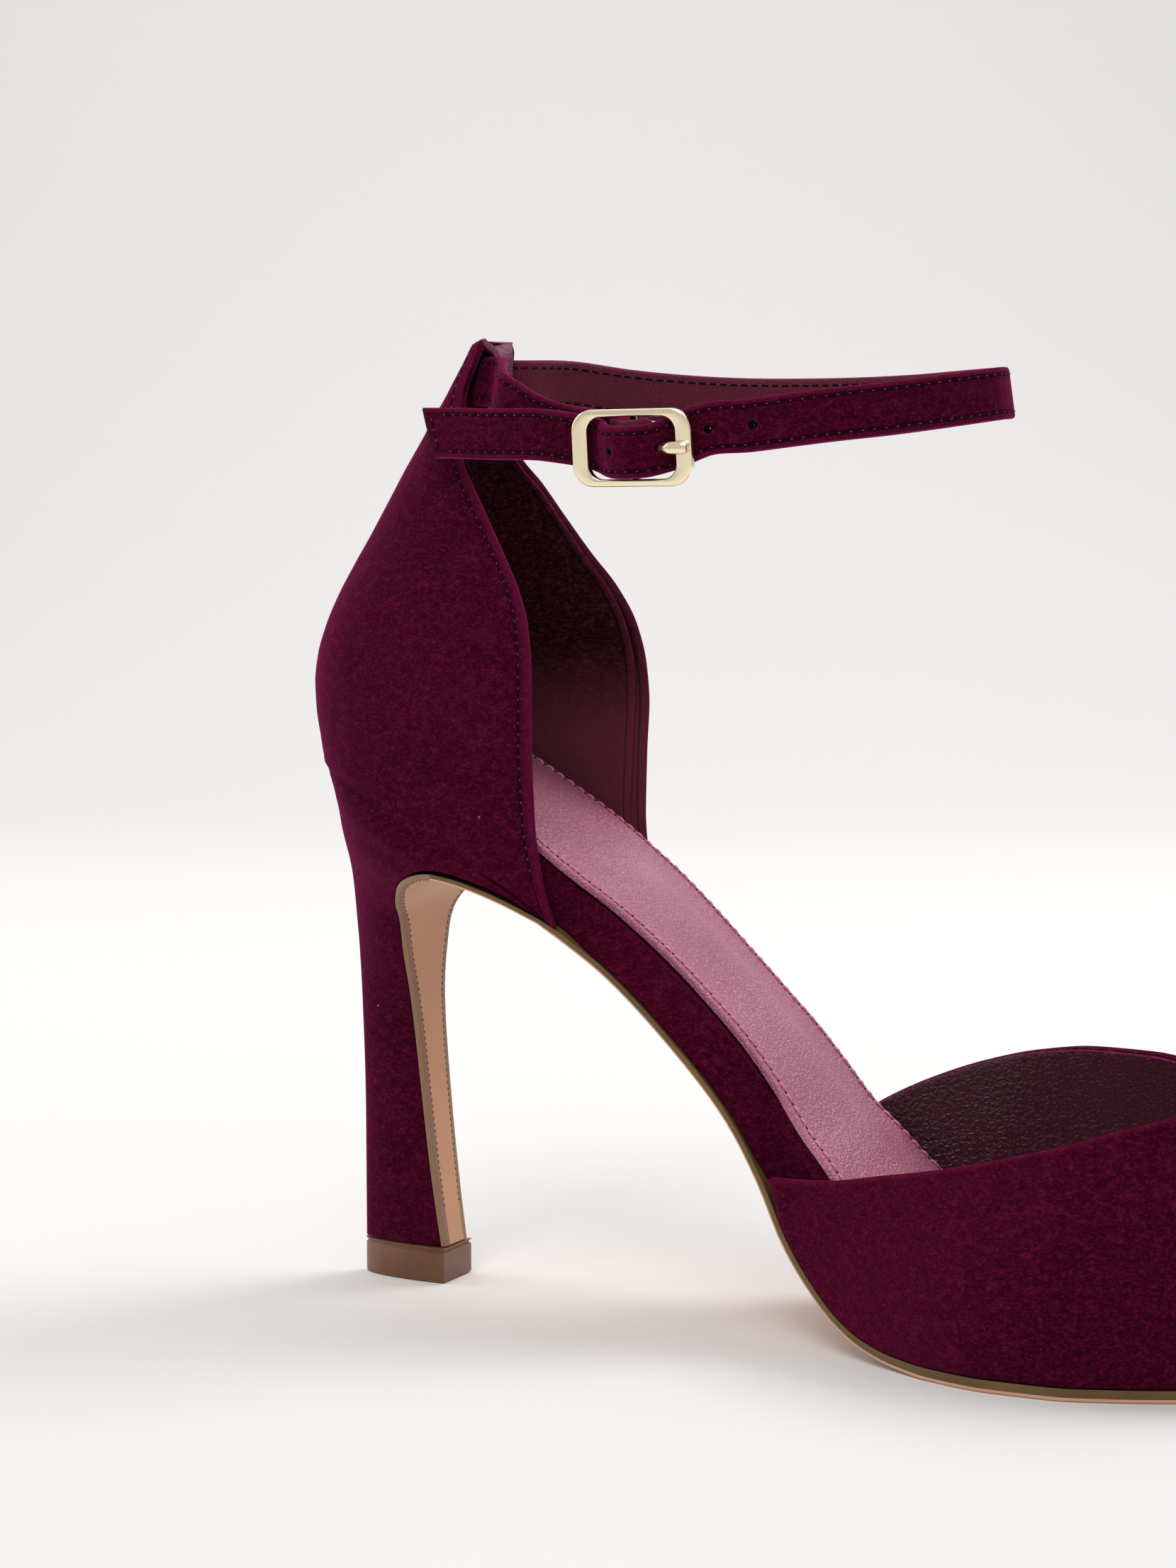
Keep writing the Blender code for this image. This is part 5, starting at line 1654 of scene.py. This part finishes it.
@dataclass
class Vamp:
    """The hollow front upper with its pointed toe: suede outside, leather inside."""

    last: Last
    looks: Finishes
    instep_height: float = 0.0445
    throat_reach: float = 0.1630
    knee_rise: float = 0.50
    knee_back: float = 0.07
    toe_rise: float = 0.34
    toe_blend: float = 0.72
    lining_setback: float = 0.004
    columns: int = 90
    rows: int = 40
    table: Table = field(default_factory=lambda: Table(
        ("turn", "feather", "swell", "top-1", "height-1", "half-1", "top1", "height1", "half1"),
        [
            (0.000, 0.000, 0.02, -0.018, 0.602, 0.292, -0.006, 0.702, 0.270),
            (0.060, 0.037, 0.03, 0.047, 0.610, 0.305, 0.058, 0.779, 0.290),
            (0.140, 0.094, 0.05, 0.123, 0.630, 0.336, 0.140, 0.855, 0.320),
            (0.230, 0.167, 0.07, 0.234, 0.677, 0.380, 0.240, 0.924, 0.352),
            (0.320, 0.249, 0.09, 0.345, 0.723, 0.415, 0.345, 0.971, 0.378),
            (0.410, 0.339, 0.11, 0.462, 0.779, 0.432, 0.456, 0.993, 0.392),
            (0.510, 0.437, 0.14, 0.585, 0.843, 0.425, 0.579, 0.988, 0.386),
            (0.610, 0.543, 0.18, 0.708, 0.918, 0.392, 0.708, 0.950, 0.350),
            (0.710, 0.657, 0.24, 0.819, 0.968, 0.330, 0.825, 0.920, 0.288),
            (0.800, 0.763, 0.30, 0.901, 0.970, 0.245, 0.906, 0.910, 0.212),
            (0.880, 0.861, 0.30, 0.956, 0.962, 0.152, 0.959, 0.918, 0.137),
            (0.940, 0.938, 0.20, 0.985, 0.955, 0.083, 0.986, 0.932, 0.075),
            (0.975, 0.984, 0.10, 0.997, 0.949, 0.036, 0.997, 0.941, 0.033),
            (1.000, 1.000, 0.00, 1.000, 0.946, 0.000, 1.000, 0.946, 0.000),
        ]))

    def point(self, turn: float, climb: float) -> Vector:
        """A point on the vamp's outer surface.

        Args:
            turn: -1 at the outer back edge, 0 at the toe and 1 at the inner back edge.
            climb: 0 at the sole and 1 at the top line.

        Returns:
            The point.
        """
        last, table = self.last, self.table
        side = 1 if turn > 0 else -1
        key = 1 - abs(turn)
        foot_x = last.vamp_start + table.at("feather", key) * (last.toe_end - last.vamp_start)
        top_x = last.vamp_start + table.at(f"top{side}", key) * (self.throat_reach - last.vamp_start)
        foot = Vector((foot_x, last.half_width(foot_x, side), last.seat_line(foot_x) + last.gap / 2))
        top = Vector((top_x, side * table.at(f"half{side}", key) * last.ball_width,
                      table.at(f"height{side}", key) * self.instep_height))
        widest = max(abs(foot.y), abs(top.y)) * (1 + table.at("swell", key) / 2)
        back, up = (top_x - foot_x) * self.knee_back, top.z - foot.z
        knee = Vector((foot_x + back, side * widest, foot.z + self.knee_rise * up))
        toe = Vector((foot_x + back, foot.y, foot.z + self.toe_rise * up))
        knee = knee.lerp(toe, blend(key, self.toe_blend, 1.0))
        return foot * (1 - climb) ** 2 + knee * (2 * climb * (1 - climb)) + top * (climb * climb)

    def grid(self, setback: float) -> Grid:
        """The outer surface as a grid.

        Args:
            setback: Share by which it ends before its free edges.

        Returns:
            Rows of points, from the sole to the top line.
        """
        turns = [-(1 - setback) + key * (1 - setback) for key in spread(0, 1, self.columns, ease_end=True)]
        turns += [-turn for turn in reversed(turns[:-1])]
        return [[self.point(turn, climb) for turn in turns] for climb in spread(0, 1 - setback, self.rows)]

    def build(self) -> None:
        """Build the suede layer and the lining layer."""
        Layers(self.last, self.looks).build("vamp", self.grid, self.lining_setback, Vector((0.3, 0, 1)),
                                            self.looks.vamp_suede, self.looks.lining)


# Ankle strap and buckle

@dataclass
class StrapAndBuckle:
    """One strap round the buckle's bar, through the tab, round the ankle and through the buckle."""

    last: Last
    looks: Finishes
    quarter: Quarter
    width: float = 0.0085
    thickness: float = 0.0016
    loop_length: float = 0.0945
    loop_width: float = 0.0500
    sag: float = 0.0120
    height: float = 0.1593
    tail_slant: float = 0.0036
    tail_cut: float = 0.0100
    edge: float = 0.0005
    edge_swell: float = 0.3
    hole_width: float = 0.0018
    hole_pitch: float = 0.0073
    prong_hole: float = 0.0055
    patch: float = 0.0011
    tab_level: float = 0.904
    tab_space: float = 0.0022
    patch_reach: float = 0.78
    wrap_gap: float = 0.0005
    spans: int = 9
    cad_spans: int = 3
    buckle_length: float = 0.0210
    buckle_height: float = 0.0125
    buckle_side: float = 0.0028
    buckle_rail: float = 0.0012
    buckle_thickness: float = 0.0014
    buckle_round: float = 0.0036
    buckle_edge: float = 0.0003
    buckle_middle: tuple[float, float, float] = (0.0535, -0.0208, 0.1453)
    buckle_lean: float = 7.0
    frame_lift: float = 0.0040
    bar_lift: float = 0.0029
    bar_radius: float = 0.0007
    prong_radius: float = 0.0006
    prong_clearance: float = 0.0003
    prong_start: int = -40
    prong_flare: float = 1.75
    wrap_middle: float = 0.024
    cut_edge: float = 0.0004
    stitch_inset: float = 0.0012
    bend: Rows = (
        (0.00, 0.00, 15.0), (0.09, 0.31, 14.0), (0.30, 0.54, 12.0), (0.58, 0.68, 10.0))
    inner: Rows = (
        (0.146, -0.308, 0.50, 8.0), (0.205, -0.346, 0.75, 7.0), (0.290, -0.385, 0.95, 4.0))
    outer: Rows = (
        (0.640, -0.440, 0.93, 0.0), (0.715, -0.416, 0.86, 2.0), (0.785, -0.370, 0.79, 4.0),
        (0.855, -0.296, 0.72, 6.0), (0.920, -0.190, 0.63, 8.0), (0.970, -0.070, 0.54, 8.0),
        (1.000, 0.050, 0.47, 8.0), (0.993, 0.168, 0.44, 8.0), (0.950, 0.268, 0.42, 6.0),
        (0.885, 0.350, 0.42, 6.0), (0.790, 0.424, 0.44, 5.0), (0.675, 0.474, 0.45, 5.0),
        (0.550, 0.500, 0.44, 5.0), (0.425, 0.498, 0.41, 6.0), (0.315, 0.466, 0.35, 8.0),
        (0.215, 0.408, 0.26, 12.0), (0.130, 0.328, 0.15, 16.0))
    tail: Rows = (
        (0.010, -0.345, 0.93, 6.0), (0.080, -0.378, 0.95, 5.0), (0.165, -0.416, 0.98, 3.0),
        (0.250, -0.444, 1.00, 1.0))
    rise: Rows = (
        (-0.86, -0.03, 0.15), (-0.56, -0.03, 0.08), (-0.28, 0.12, 0.03))
    fold: Rows = (
        (-0.20, 0.88, 0.024), (-0.29, 0.72, 0.024), (-0.37, 0.62, 0.024))
    weave: Rows = (
        (-1.12, 0.50, 0.118), (-0.78, 0.50, 0.070), (-0.60, 0.66, 0.015), (-0.43, 1.06, -0.025),
        (-0.26, 1.46, -0.040), (0.00, 1.72, -0.040), (0.26, 1.46, -0.034), (0.43, 1.06, -0.008),
        (0.60, 0.66, 0.035), (0.78, 0.50, 0.100), (1.12, 0.40, 0.200))
    holes: tuple[float, ...] = (-1.12, 0.97, 2.00)
    prong_reach: Rows = ((0.28, 0.95), (0.50, 1.18), (0.70, 1.385), (0.96, 1.385))
    tab_patch: Rows = (
        (-0.66, 0.20), (-0.60, 0.75), (-0.50, 1.00), (-0.20, 1.00),
        (0.20, 1.00), (0.50, 1.00), (0.61, 0.75), (0.68, 0.20))
    patch_fold: Rows = ((0.72, -0.35), (0.76, -0.85), (0.80, -1.20))

    def buckle_point(self, along: float, lift: float, across: float = 0.0) -> Vector:
        """A point by the buckle.

        Args:
            along: Place along it, in half lengths from its middle.
            lift: Place outward, in frame lifts.
            across: Place up, in heights of it.

        Returns:
            The point.
        """
        lean = math.radians(self.buckle_lean)
        outward = Vector((0.0, -math.cos(lean), -math.sin(lean)))
        upward = Vector((0.0, -math.sin(lean), math.cos(lean)))
        middle = Vector(self.buckle_middle) + Vector((along * self.buckle_length / 2, 0.0, 0.0))
        return middle + outward * lift * self.frame_lift + upward * across * self.buckle_height

    def round_bar(self, reach: float, degrees: float, across: float = 0.0) -> Vector:
        """A point round the buckle's bar.

        Args:
            reach: Distance from the bar's middle.
            degrees: 0 to the toe and 90 outward.
            across: Place up, in heights of the buckle.

        Returns:
            The point.
        """
        angle = math.radians(degrees)
        along = reach * math.cos(angle) / (self.buckle_length / 2)
        return self.buckle_point(along, (self.bar_lift + reach * math.sin(angle)) / self.frame_lift, across)

    def tab_wall(self) -> Vector:
        """The tab's inner wall at the strap's height."""
        return self.quarter.inside(self.tab_level, 0.0, self.last.wall)

    def tab_point(self, ahead: float, across: float) -> Vector:
        """A point of the strap inside the tab."""
        return self.tab_wall() + Vector((self.tab_space + ahead * self.width, across * self.width, 0.0))

    def loop_point(self, along: float, across: float, drop: float) -> Vector:
        """A point of the ankle loop, from the tab's wall."""
        x = self.tab_wall().x + along * self.loop_length
        return Vector((x, across * self.loop_width, self.height - drop * self.sag))

    def route(self) -> list[tuple[Vector, float]]:
        """The strap's centre line, from the folded end at the bar to the tail's end.

        Returns:
            Its points, each with the band's lean in degrees.
        """
        wrap = self.bar_radius + self.wrap_gap + self.thickness / 2
        lean = -self.buckle_lean
        route = [(self.buckle_point(*place), lean) for place in reversed(self.fold)]
        route += [(self.round_bar(wrap, degrees, self.wrap_middle), lean)
                  for degrees in (90, 45, 0, -45, -90)]
        route += [(self.buckle_point(*place), lean) for place in reversed(self.rise)]
        route += [(self.loop_point(*place), turn) for *place, turn in reversed(self.inner)]
        route += [(self.tab_point(ahead, -across), turn) for ahead, across, turn in reversed(self.bend[1:])]
        route += [(self.tab_point(ahead, across), turn) for ahead, across, turn in self.bend]
        route += [(self.loop_point(*place), turn) for *place, turn in reversed(self.outer)]
        route += [(self.buckle_point(*place), lean) for place in reversed(self.weave)]
        route += [(self.loop_point(*place), turn) for *place, turn in reversed(self.tail)]
        return route

    def frames(self, spans: int) -> Band:
        """Frames along the strap.

        Args:
            spans: Steps between each two points of the route.

        Returns:
            Centre points, each with its direction, the band's upward direction and its inward one.
        """
        route = self.route()
        path = smooth_path([point for point, _ in route], spans)
        frames = []
        for i, point in enumerate(path):
            k = min(i // spans, len(route) - 2)
            lean = route[k][1] + (route[k + 1][1] - route[k][1]) * (i / spans - k)
            along = (path[min(i + 1, len(path) - 1)] - path[max(i - 1, 0)]).normalized()
            side = along.cross(Vector((0, 0, 1))).normalized()
            if side.dot(Vector((self.buckle_middle[0], 0, point.z)) - point) < 0:
                side = -side
            up = (Vector((0, 0, 1)) - along * along.z).normalized()
            up = (up + side * math.tan(math.radians(lean))).normalized()
            frames.append((point, along, up, along.cross(up).normalized()))
        return frames

    def slant(self, point: Vector, end: Vector) -> float:
        """How far the tail's cut leans at a point."""
        return max(1 - (point - end).length / self.tail_cut, 0.0) * self.tail_slant

    def strap(self) -> None:
        """Build the strap, suede outside and leather inside, with its punched holes."""
        frames = self.frames(self.spans)
        half, thick, soft = self.width / 2, self.thickness / 2, self.edge
        near = soft * self.edge_swell
        profile = [(-half, -thick + soft), (-half + near, -thick + near), (-half + soft, -thick)]
        flats = [-0.7, -0.35, 0.0, 0.35, 0.7]
        profile += [(share * (half - soft), -thick) for share in flats]
        profile += [(half - soft, -thick), (half - near, -thick + near), (half, -thick + soft)]
        profile += [(-u, -v) for u, v in profile]
        rings = []
        end, *turned = frames[-1]
        before_cut = (end - turned[0] * self.cut_edge, *turned)
        for point, along, up, side in [*frames[:-1], before_cut, frames[-1]]:
            slant = self.slant(point, end)
            rings.append([point + up * u + side * v + along * (slant * u / self.width) for u, v in profile])
        count = len(profile)
        face_end = count // 2 - 2
        lining = range(count // 2 + 1, count - 2)

        def pick(ring: int, segment: int) -> int:
            """The material of a face.

            Args:
                ring: The ring's number.
                segment: The segment's number.

            Returns:
                0 for the outer suede, 1 the inner leather, 2 the cut edges and 3 the tail's end.
            """
            if ring == len(rings) - 2:
                return 3
            if 1 <= segment <= face_end:
                return 0
            return 1 if segment in lining else 2

        looks = self.looks
        made = loft("strap_band", rings, [looks.strap_suede, looks.patch, looks.cut_suede, looks.black_edge],
                    pick, 60, end=3)
        rims = [max(half - abs(u), 0.0) for u, _ in profile] * len(rings)
        keep_rims(made.data, rims)
        self.punch(made, frames)
        settle(made, Slot.SUEDE, "ankle_strap")

    def punch(self, strap: Object, frames: Band) -> None:
        """Cut the holes and the prong's way.

        Args:
            strap: The strap.
            frames: Its frames.
        """
        outer = [frame for frame in frames[len(frames) // 2:] if frame[0].y < 0]
        cutters = []
        for k, place in enumerate(self.holes):
            x = self.buckle_middle[0] + self.prong_hole + place * self.hole_pitch
            point, _, _, side = min(outer, key=lambda spot: abs(spot[0].x - x))
            turn = side.to_track_quat("Z", "Y").to_matrix().to_4x4()
            wide = self.hole_width / 2
            steps = ((wide * 0.85, -self.thickness * 0.55), (wide * 0.15, 0.0))
            for n, (radius, shift) in enumerate(steps):
                shape = bmesh.new()
                bmesh.ops.create_cone(shape, cap_ends=True, segments=24, radius1=radius, radius2=radius,
                                      depth=self.thickness * 1.4)
                mesh = bpy.data.meshes.new(f"hole_{k}_{n}")
                shape.to_mesh(mesh)
                shape.free()
                hole = new_piece(f"hole_{k}_{n}", mesh, [self.looks.black_edge])
                hole.matrix_world = Matrix.Translation(point + side * shift) @ turn
                cutters.append(hole)
        way = self.tube("prong_way", self.prong_points(self.prong_start + 20),
                        self.prong_radius + self.prong_clearance, self.looks.black_edge)
        cutters.append(way)
        for cutter in cutters:
            cut = strap.modifiers.new("cut", "BOOLEAN")
            cut.operation = "DIFFERENCE"
            cut.object = cutter
        apply_modifiers(strap)
        for cutter in cutters:
            bpy.data.objects.remove(cutter)

    def tube(self, name: str, points: Sequence[Vector], radius: float,
             look: Material, flare: float = 1.0) -> Object:
        """A round bar through points, with domed ends.

        Args:
            name: Name of the piece.
            points: Its centre line.
            radius: Its radius.
            look: Its material.
            flare: How much wider it is at its last point.

        Returns:
            The piece.
        """
        sides = 16
        rings = []
        up = Vector((0, 0, 1))
        path = list(points)
        ends = {0: 0.55, 1: 0.85, len(path) - 2: 0.97, len(path) - 1: 0.72}
        for i, point in enumerate(path):
            along = (path[min(i + 1, len(path) - 1)] - path[max(i - 1, 0)]).normalized()
            side = along.cross(up).normalized()
            top = side.cross(along).normalized()
            size = radius * (ends.get(i, 1.0) if look is self.looks.gold else 1.0)
            wide = 1 + (flare - 1) * blend(i, len(path) * 0.55, len(path) * 0.85)
            rings.append([point + (side * math.cos(2 * math.pi * k / sides)
                                   + top * wide * math.sin(2 * math.pi * k / sides)) * size
                          for k in range(sides)])
        return loft(name, rings, [look], None, 60)

    def prong_points(self, start: int) -> list[Vector]:
        """The prong's centre line.

        Args:
            start: Angle in degrees at which it starts, under the bar.

        Returns:
            The points, up to the frame's far side.
        """
        reach = self.bar_radius + self.last.gap + self.prong_radius
        points = [self.round_bar(reach, degrees) for degrees in range(start, -281, -10)]
        ahead = [self.buckle_point(along, lift) for along, lift in self.prong_reach]
        return points + smooth_path([points[-1]] + ahead, 6)[1:]

    def stitching(self) -> None:
        """Sew both edges of the strap, on its outer face, and its inner face's edges."""
        frames = self.frames(self.spans)
        lift = self.thickness / 2
        paths = []
        for edge in (-1, 1):
            path, inner = [], []
            for point, along, up, side in frames:
                slant = self.slant(point, frames[-1][0])
                u = edge * (self.width / 2 - self.stitch_inset)
                path.append((point + up * u - side * lift + along * (slant * u / self.width), -side))
                inner.append((point + up * u + side * lift, side))
            paths.append(path[6:-4])
            paths.append(inner[6:-10])
        end, along, up, side = frames[-1]
        cross = []
        for share in spread(-1.0, 1.0, 9):
            u = share * (self.width / 2 - self.stitch_inset)
            back = along * (self.tail_slant * u / self.width - self.stitch_inset * 1.3)
            cross.append((end + up * u - side * lift + back, -side))
        paths.append(cross)
        sew_seam("strap", paths, self.looks)

    def tab_lining(self) -> None:
        """Build the patch over the strap in the tab."""
        clear = self.thickness / 2 + self.last.gap + self.patch / 2
        middle, reach = self.tab_point(0.0, 0.0), self.patch_reach * self.width
        cad = [frame for frame in self.frames(self.cad_spans) if (frame[0] - middle).length < reach]
        rows = []
        for rise, depth in self.tab_patch + self.patch_fold:
            row = []
            for point, _, up, inward in cad:
                row.append(point + up * rise * self.width + inward * depth * clear)
            rows.append(smooth_path(row, 4))
        grid = refine(rows, 3)
        made = wall_piece("tab_patch", grid, self.patch, Vector((1, 0, 0)),
                          [self.looks.tab_patch, self.looks.tab_patch, self.looks.tab_patch], 0.0003,
                          skip_first_row=False, centred=True)
        settle(made, Slot.LINING, "tab_lining")

    def frame_piece(self) -> None:
        """Build the gold frame with its bar."""
        curve = bpy.data.curves.new("buckle", "CURVE")
        curve.dimensions = "2D"
        curve.fill_mode = "BOTH"
        curve.extrude = self.buckle_thickness / 2 - self.buckle_edge
        curve.bevel_depth = self.buckle_edge
        curve.bevel_resolution = 3
        curve.offset = -self.buckle_edge
        half_x, half_y = self.buckle_length / 2, self.buckle_height / 2
        self.outline(curve, half_x, half_y, self.buckle_round)
        self.outline(curve, half_x - self.buckle_side, half_y - self.buckle_rail,
                     self.buckle_round - self.buckle_rail)
        source = bpy.data.objects.new("buckle", curve)
        source.rotation_euler = (math.radians(90 + self.buckle_lean), 0.0, 0.0)
        source.location = self.buckle_point(0, 1.0)
        bpy.context.scene.collection.objects.link(source)
        bpy.context.view_layer.update()
        evaluated = source.evaluated_get(bpy.context.evaluated_depsgraph_get())
        mesh = bpy.data.meshes.new_from_object(evaluated)
        shape = bmesh.new()
        shape.from_mesh(mesh)
        bmesh.ops.remove_doubles(shape, verts=shape.verts, dist=1e-6)
        bmesh.ops.recalc_face_normals(shape, faces=shape.faces)
        shape.transform(source.matrix_world)
        shape.to_mesh(mesh)
        shape.free()
        bpy.data.objects.remove(source)
        mesh.materials.clear()
        made = new_piece("buckle", mesh, [self.looks.gold, self.looks.dark_gold], 35)
        reach = (self.buckle_height - self.buckle_rail) / 2 / self.buckle_height
        bar = self.tube("bar", [self.round_bar(0.0, 0.0, share) for share in (-reach, 0.0, reach)],
                        self.bar_radius, self.looks.dark_gold)
        joined = made.modifiers.new("bar", "BOOLEAN")
        joined.operation = "UNION"
        joined.object = bar
        apply_modifiers(made)
        bpy.data.objects.remove(bar)
        settle(made, Slot.GOLD, "buckle_frame")

    def outline(self, curve: Curve, half_x: float, half_y: float, radius: float) -> None:
        """Add a closed rounded rectangle to a flat curve.

        Args:
            curve: The curve.
            half_x: Half its length.
            half_y: Half its height.
            radius: Its corner radius.
        """
        steps = 12
        points = []
        for corner, (sx, sy) in enumerate(((1, 1), (-1, 1), (-1, -1), (1, -1))):
            for i in range(steps + 1):
                angle = (corner + i / steps) * math.pi / 2
                points.append((sx * (half_x - radius) + radius * math.cos(angle),
                               sy * (half_y - radius) + radius * math.sin(angle)))
        spline = curve.splines.new("POLY")
        spline.points.add(len(points) - 1)
        for knot, (x, y) in zip(spline.points, points):
            knot.co = (x, y, 0.0, 1.0)
        spline.use_cyclic_u = True

    def build(self) -> None:
        """Build the strap, its seams, the patch and the buckle."""
        self.strap()
        self.stitching()
        self.tab_lining()
        self.frame_piece()
        prong = self.tube("prong", self.prong_points(self.prong_start), self.prong_radius, self.looks.gold,
                          self.prong_flare)
        settle(prong, Slot.GOLD, "buckle_prong")


# Studio

@dataclass(frozen=True)
class Lamp:
    """One soft square light."""

    name: str
    place: tuple[float, float, float]
    size: float
    power: float
    colour: Rgb = (1.0, 1.0, 1.0)
    aim: tuple[float, float, float] = (0.07, 0.0, 0.07)

    def hang(self) -> None:
        """Put the light up, turned to its aim."""
        data = bpy.data.lights.new(self.name, "AREA")
        data.size = self.size
        data.energy = self.power
        data.color = self.colour
        lamp = bpy.data.objects.new(self.name, data)
        lamp.location = self.place
        ray = Vector(self.aim) - Vector(self.place)
        lamp.rotation_euler = ray.to_track_quat("-Z", "Y").to_euler()
        bpy.context.scene.collection.objects.link(lamp)


@dataclass
class Studio:
    """Pale floor that sweeps up behind the shoe, soft light and the camera."""

    eye: tuple[float, float, float] = (0.26296, -0.50246, 0.12578)
    yaw: float = 24.464
    pitch: float = 3.875
    lens: float = 98.51
    sensor: float = 36.0
    floor_colour: Rgb = (0.758, 0.751, 0.744)
    world_colour: Rgb = (1.0, 0.995, 0.985)
    world_strength: float = 0.58
    sweep_start: float = 1.0
    sweep_round: float = 0.9
    sweep_top: float = 2.6
    half_width: float = 4.0
    lamps: tuple[Lamp, ...] = (
        Lamp("key", (0.55, 0.75, 1.15), 0.7, 8.0, (1.0, 0.99, 0.975)),
        Lamp("fill", (0.15, -0.85, 1.15), 0.6, 5.5),
        Lamp("side", (-1.0, -0.15, 0.55), 0.7, 3.0),
        Lamp("backdrop", (-0.3, 0.5, 1.5), 1.2, 9.0, aim=(-0.6, 1.8, 0.2)),
    )

    def floor(self) -> None:
        """Lay the floor and its backdrop."""
        profile = [(-2.5, 0.0), (self.sweep_start, 0.0)]
        steps = 16
        for i in range(1, steps + 1):
            angle = i / steps * math.pi / 2
            profile.append((self.sweep_start + self.sweep_round * math.sin(angle),
                            self.sweep_round * (1 - math.cos(angle))))
        profile.append((self.sweep_start + self.sweep_round, self.sweep_top))
        turn = Matrix.Rotation(math.radians(self.yaw), 3, "Z")
        grid = [[turn @ Vector((x, y, z)) for x in (-self.half_width, self.half_width)]
                for y, z in profile]
        mesh = sheet_mesh("studio_floor", grid, Vector((0, -0.3, 1)))
        look, tree, shader = Surface("studio_floor", roughness=0.85, specular=0.1).start()
        shader.inputs["Base Color"].default_value = rgba(self.floor_colour)
        new_piece("studio_floor", mesh, [look], 60)

    def light(self) -> None:
        """Light the shoe."""
        world = bpy.data.worlds.new("studio")
        world.use_nodes = True
        back = world.node_tree.nodes["Background"]
        back.inputs["Color"].default_value = rgba(self.world_colour)
        back.inputs["Strength"].default_value = self.world_strength
        bpy.context.scene.world = world
        for lamp in self.lamps:
            lamp.hang()

    def camera(self) -> None:
        """Set the camera at the photograph's view."""
        yaw, pitch = math.radians(self.yaw), math.radians(self.pitch)
        level = math.cos(pitch)
        forward = Vector((-math.sin(yaw) * level, math.cos(yaw) * level, -math.sin(pitch)))
        data = bpy.data.cameras.new("photo_view")
        data.lens = self.lens
        data.sensor_width = self.sensor
        data.sensor_fit = "HORIZONTAL"
        data.clip_start = 0.01
        camera = bpy.data.objects.new("photo_view", data)
        camera.location = self.eye
        camera.rotation_euler = forward.to_track_quat("-Z", "Y").to_euler()
        bpy.context.scene.collection.objects.link(camera)
        bpy.context.scene.camera = camera

    def build(self) -> None:
        """Set up the studio."""
        self.camera()
        self.floor()
        self.light()
        bpy.context.scene.view_settings.view_transform = "Standard"


def main() -> None:
    """Build the studio and every part of the shoe."""
    Studio().build()
    looks, last = Finishes(), Last()
    quarter = Quarter(last, looks)
    for part in (SoleAndHeel(last, looks), Insole(last, looks), quarter, Vamp(last, looks),
                 StrapAndBuckle(last, looks, quarter)):
        log.info("building %s", type(part).__name__)
        part.build()


if __name__ == "__main__":
    main()
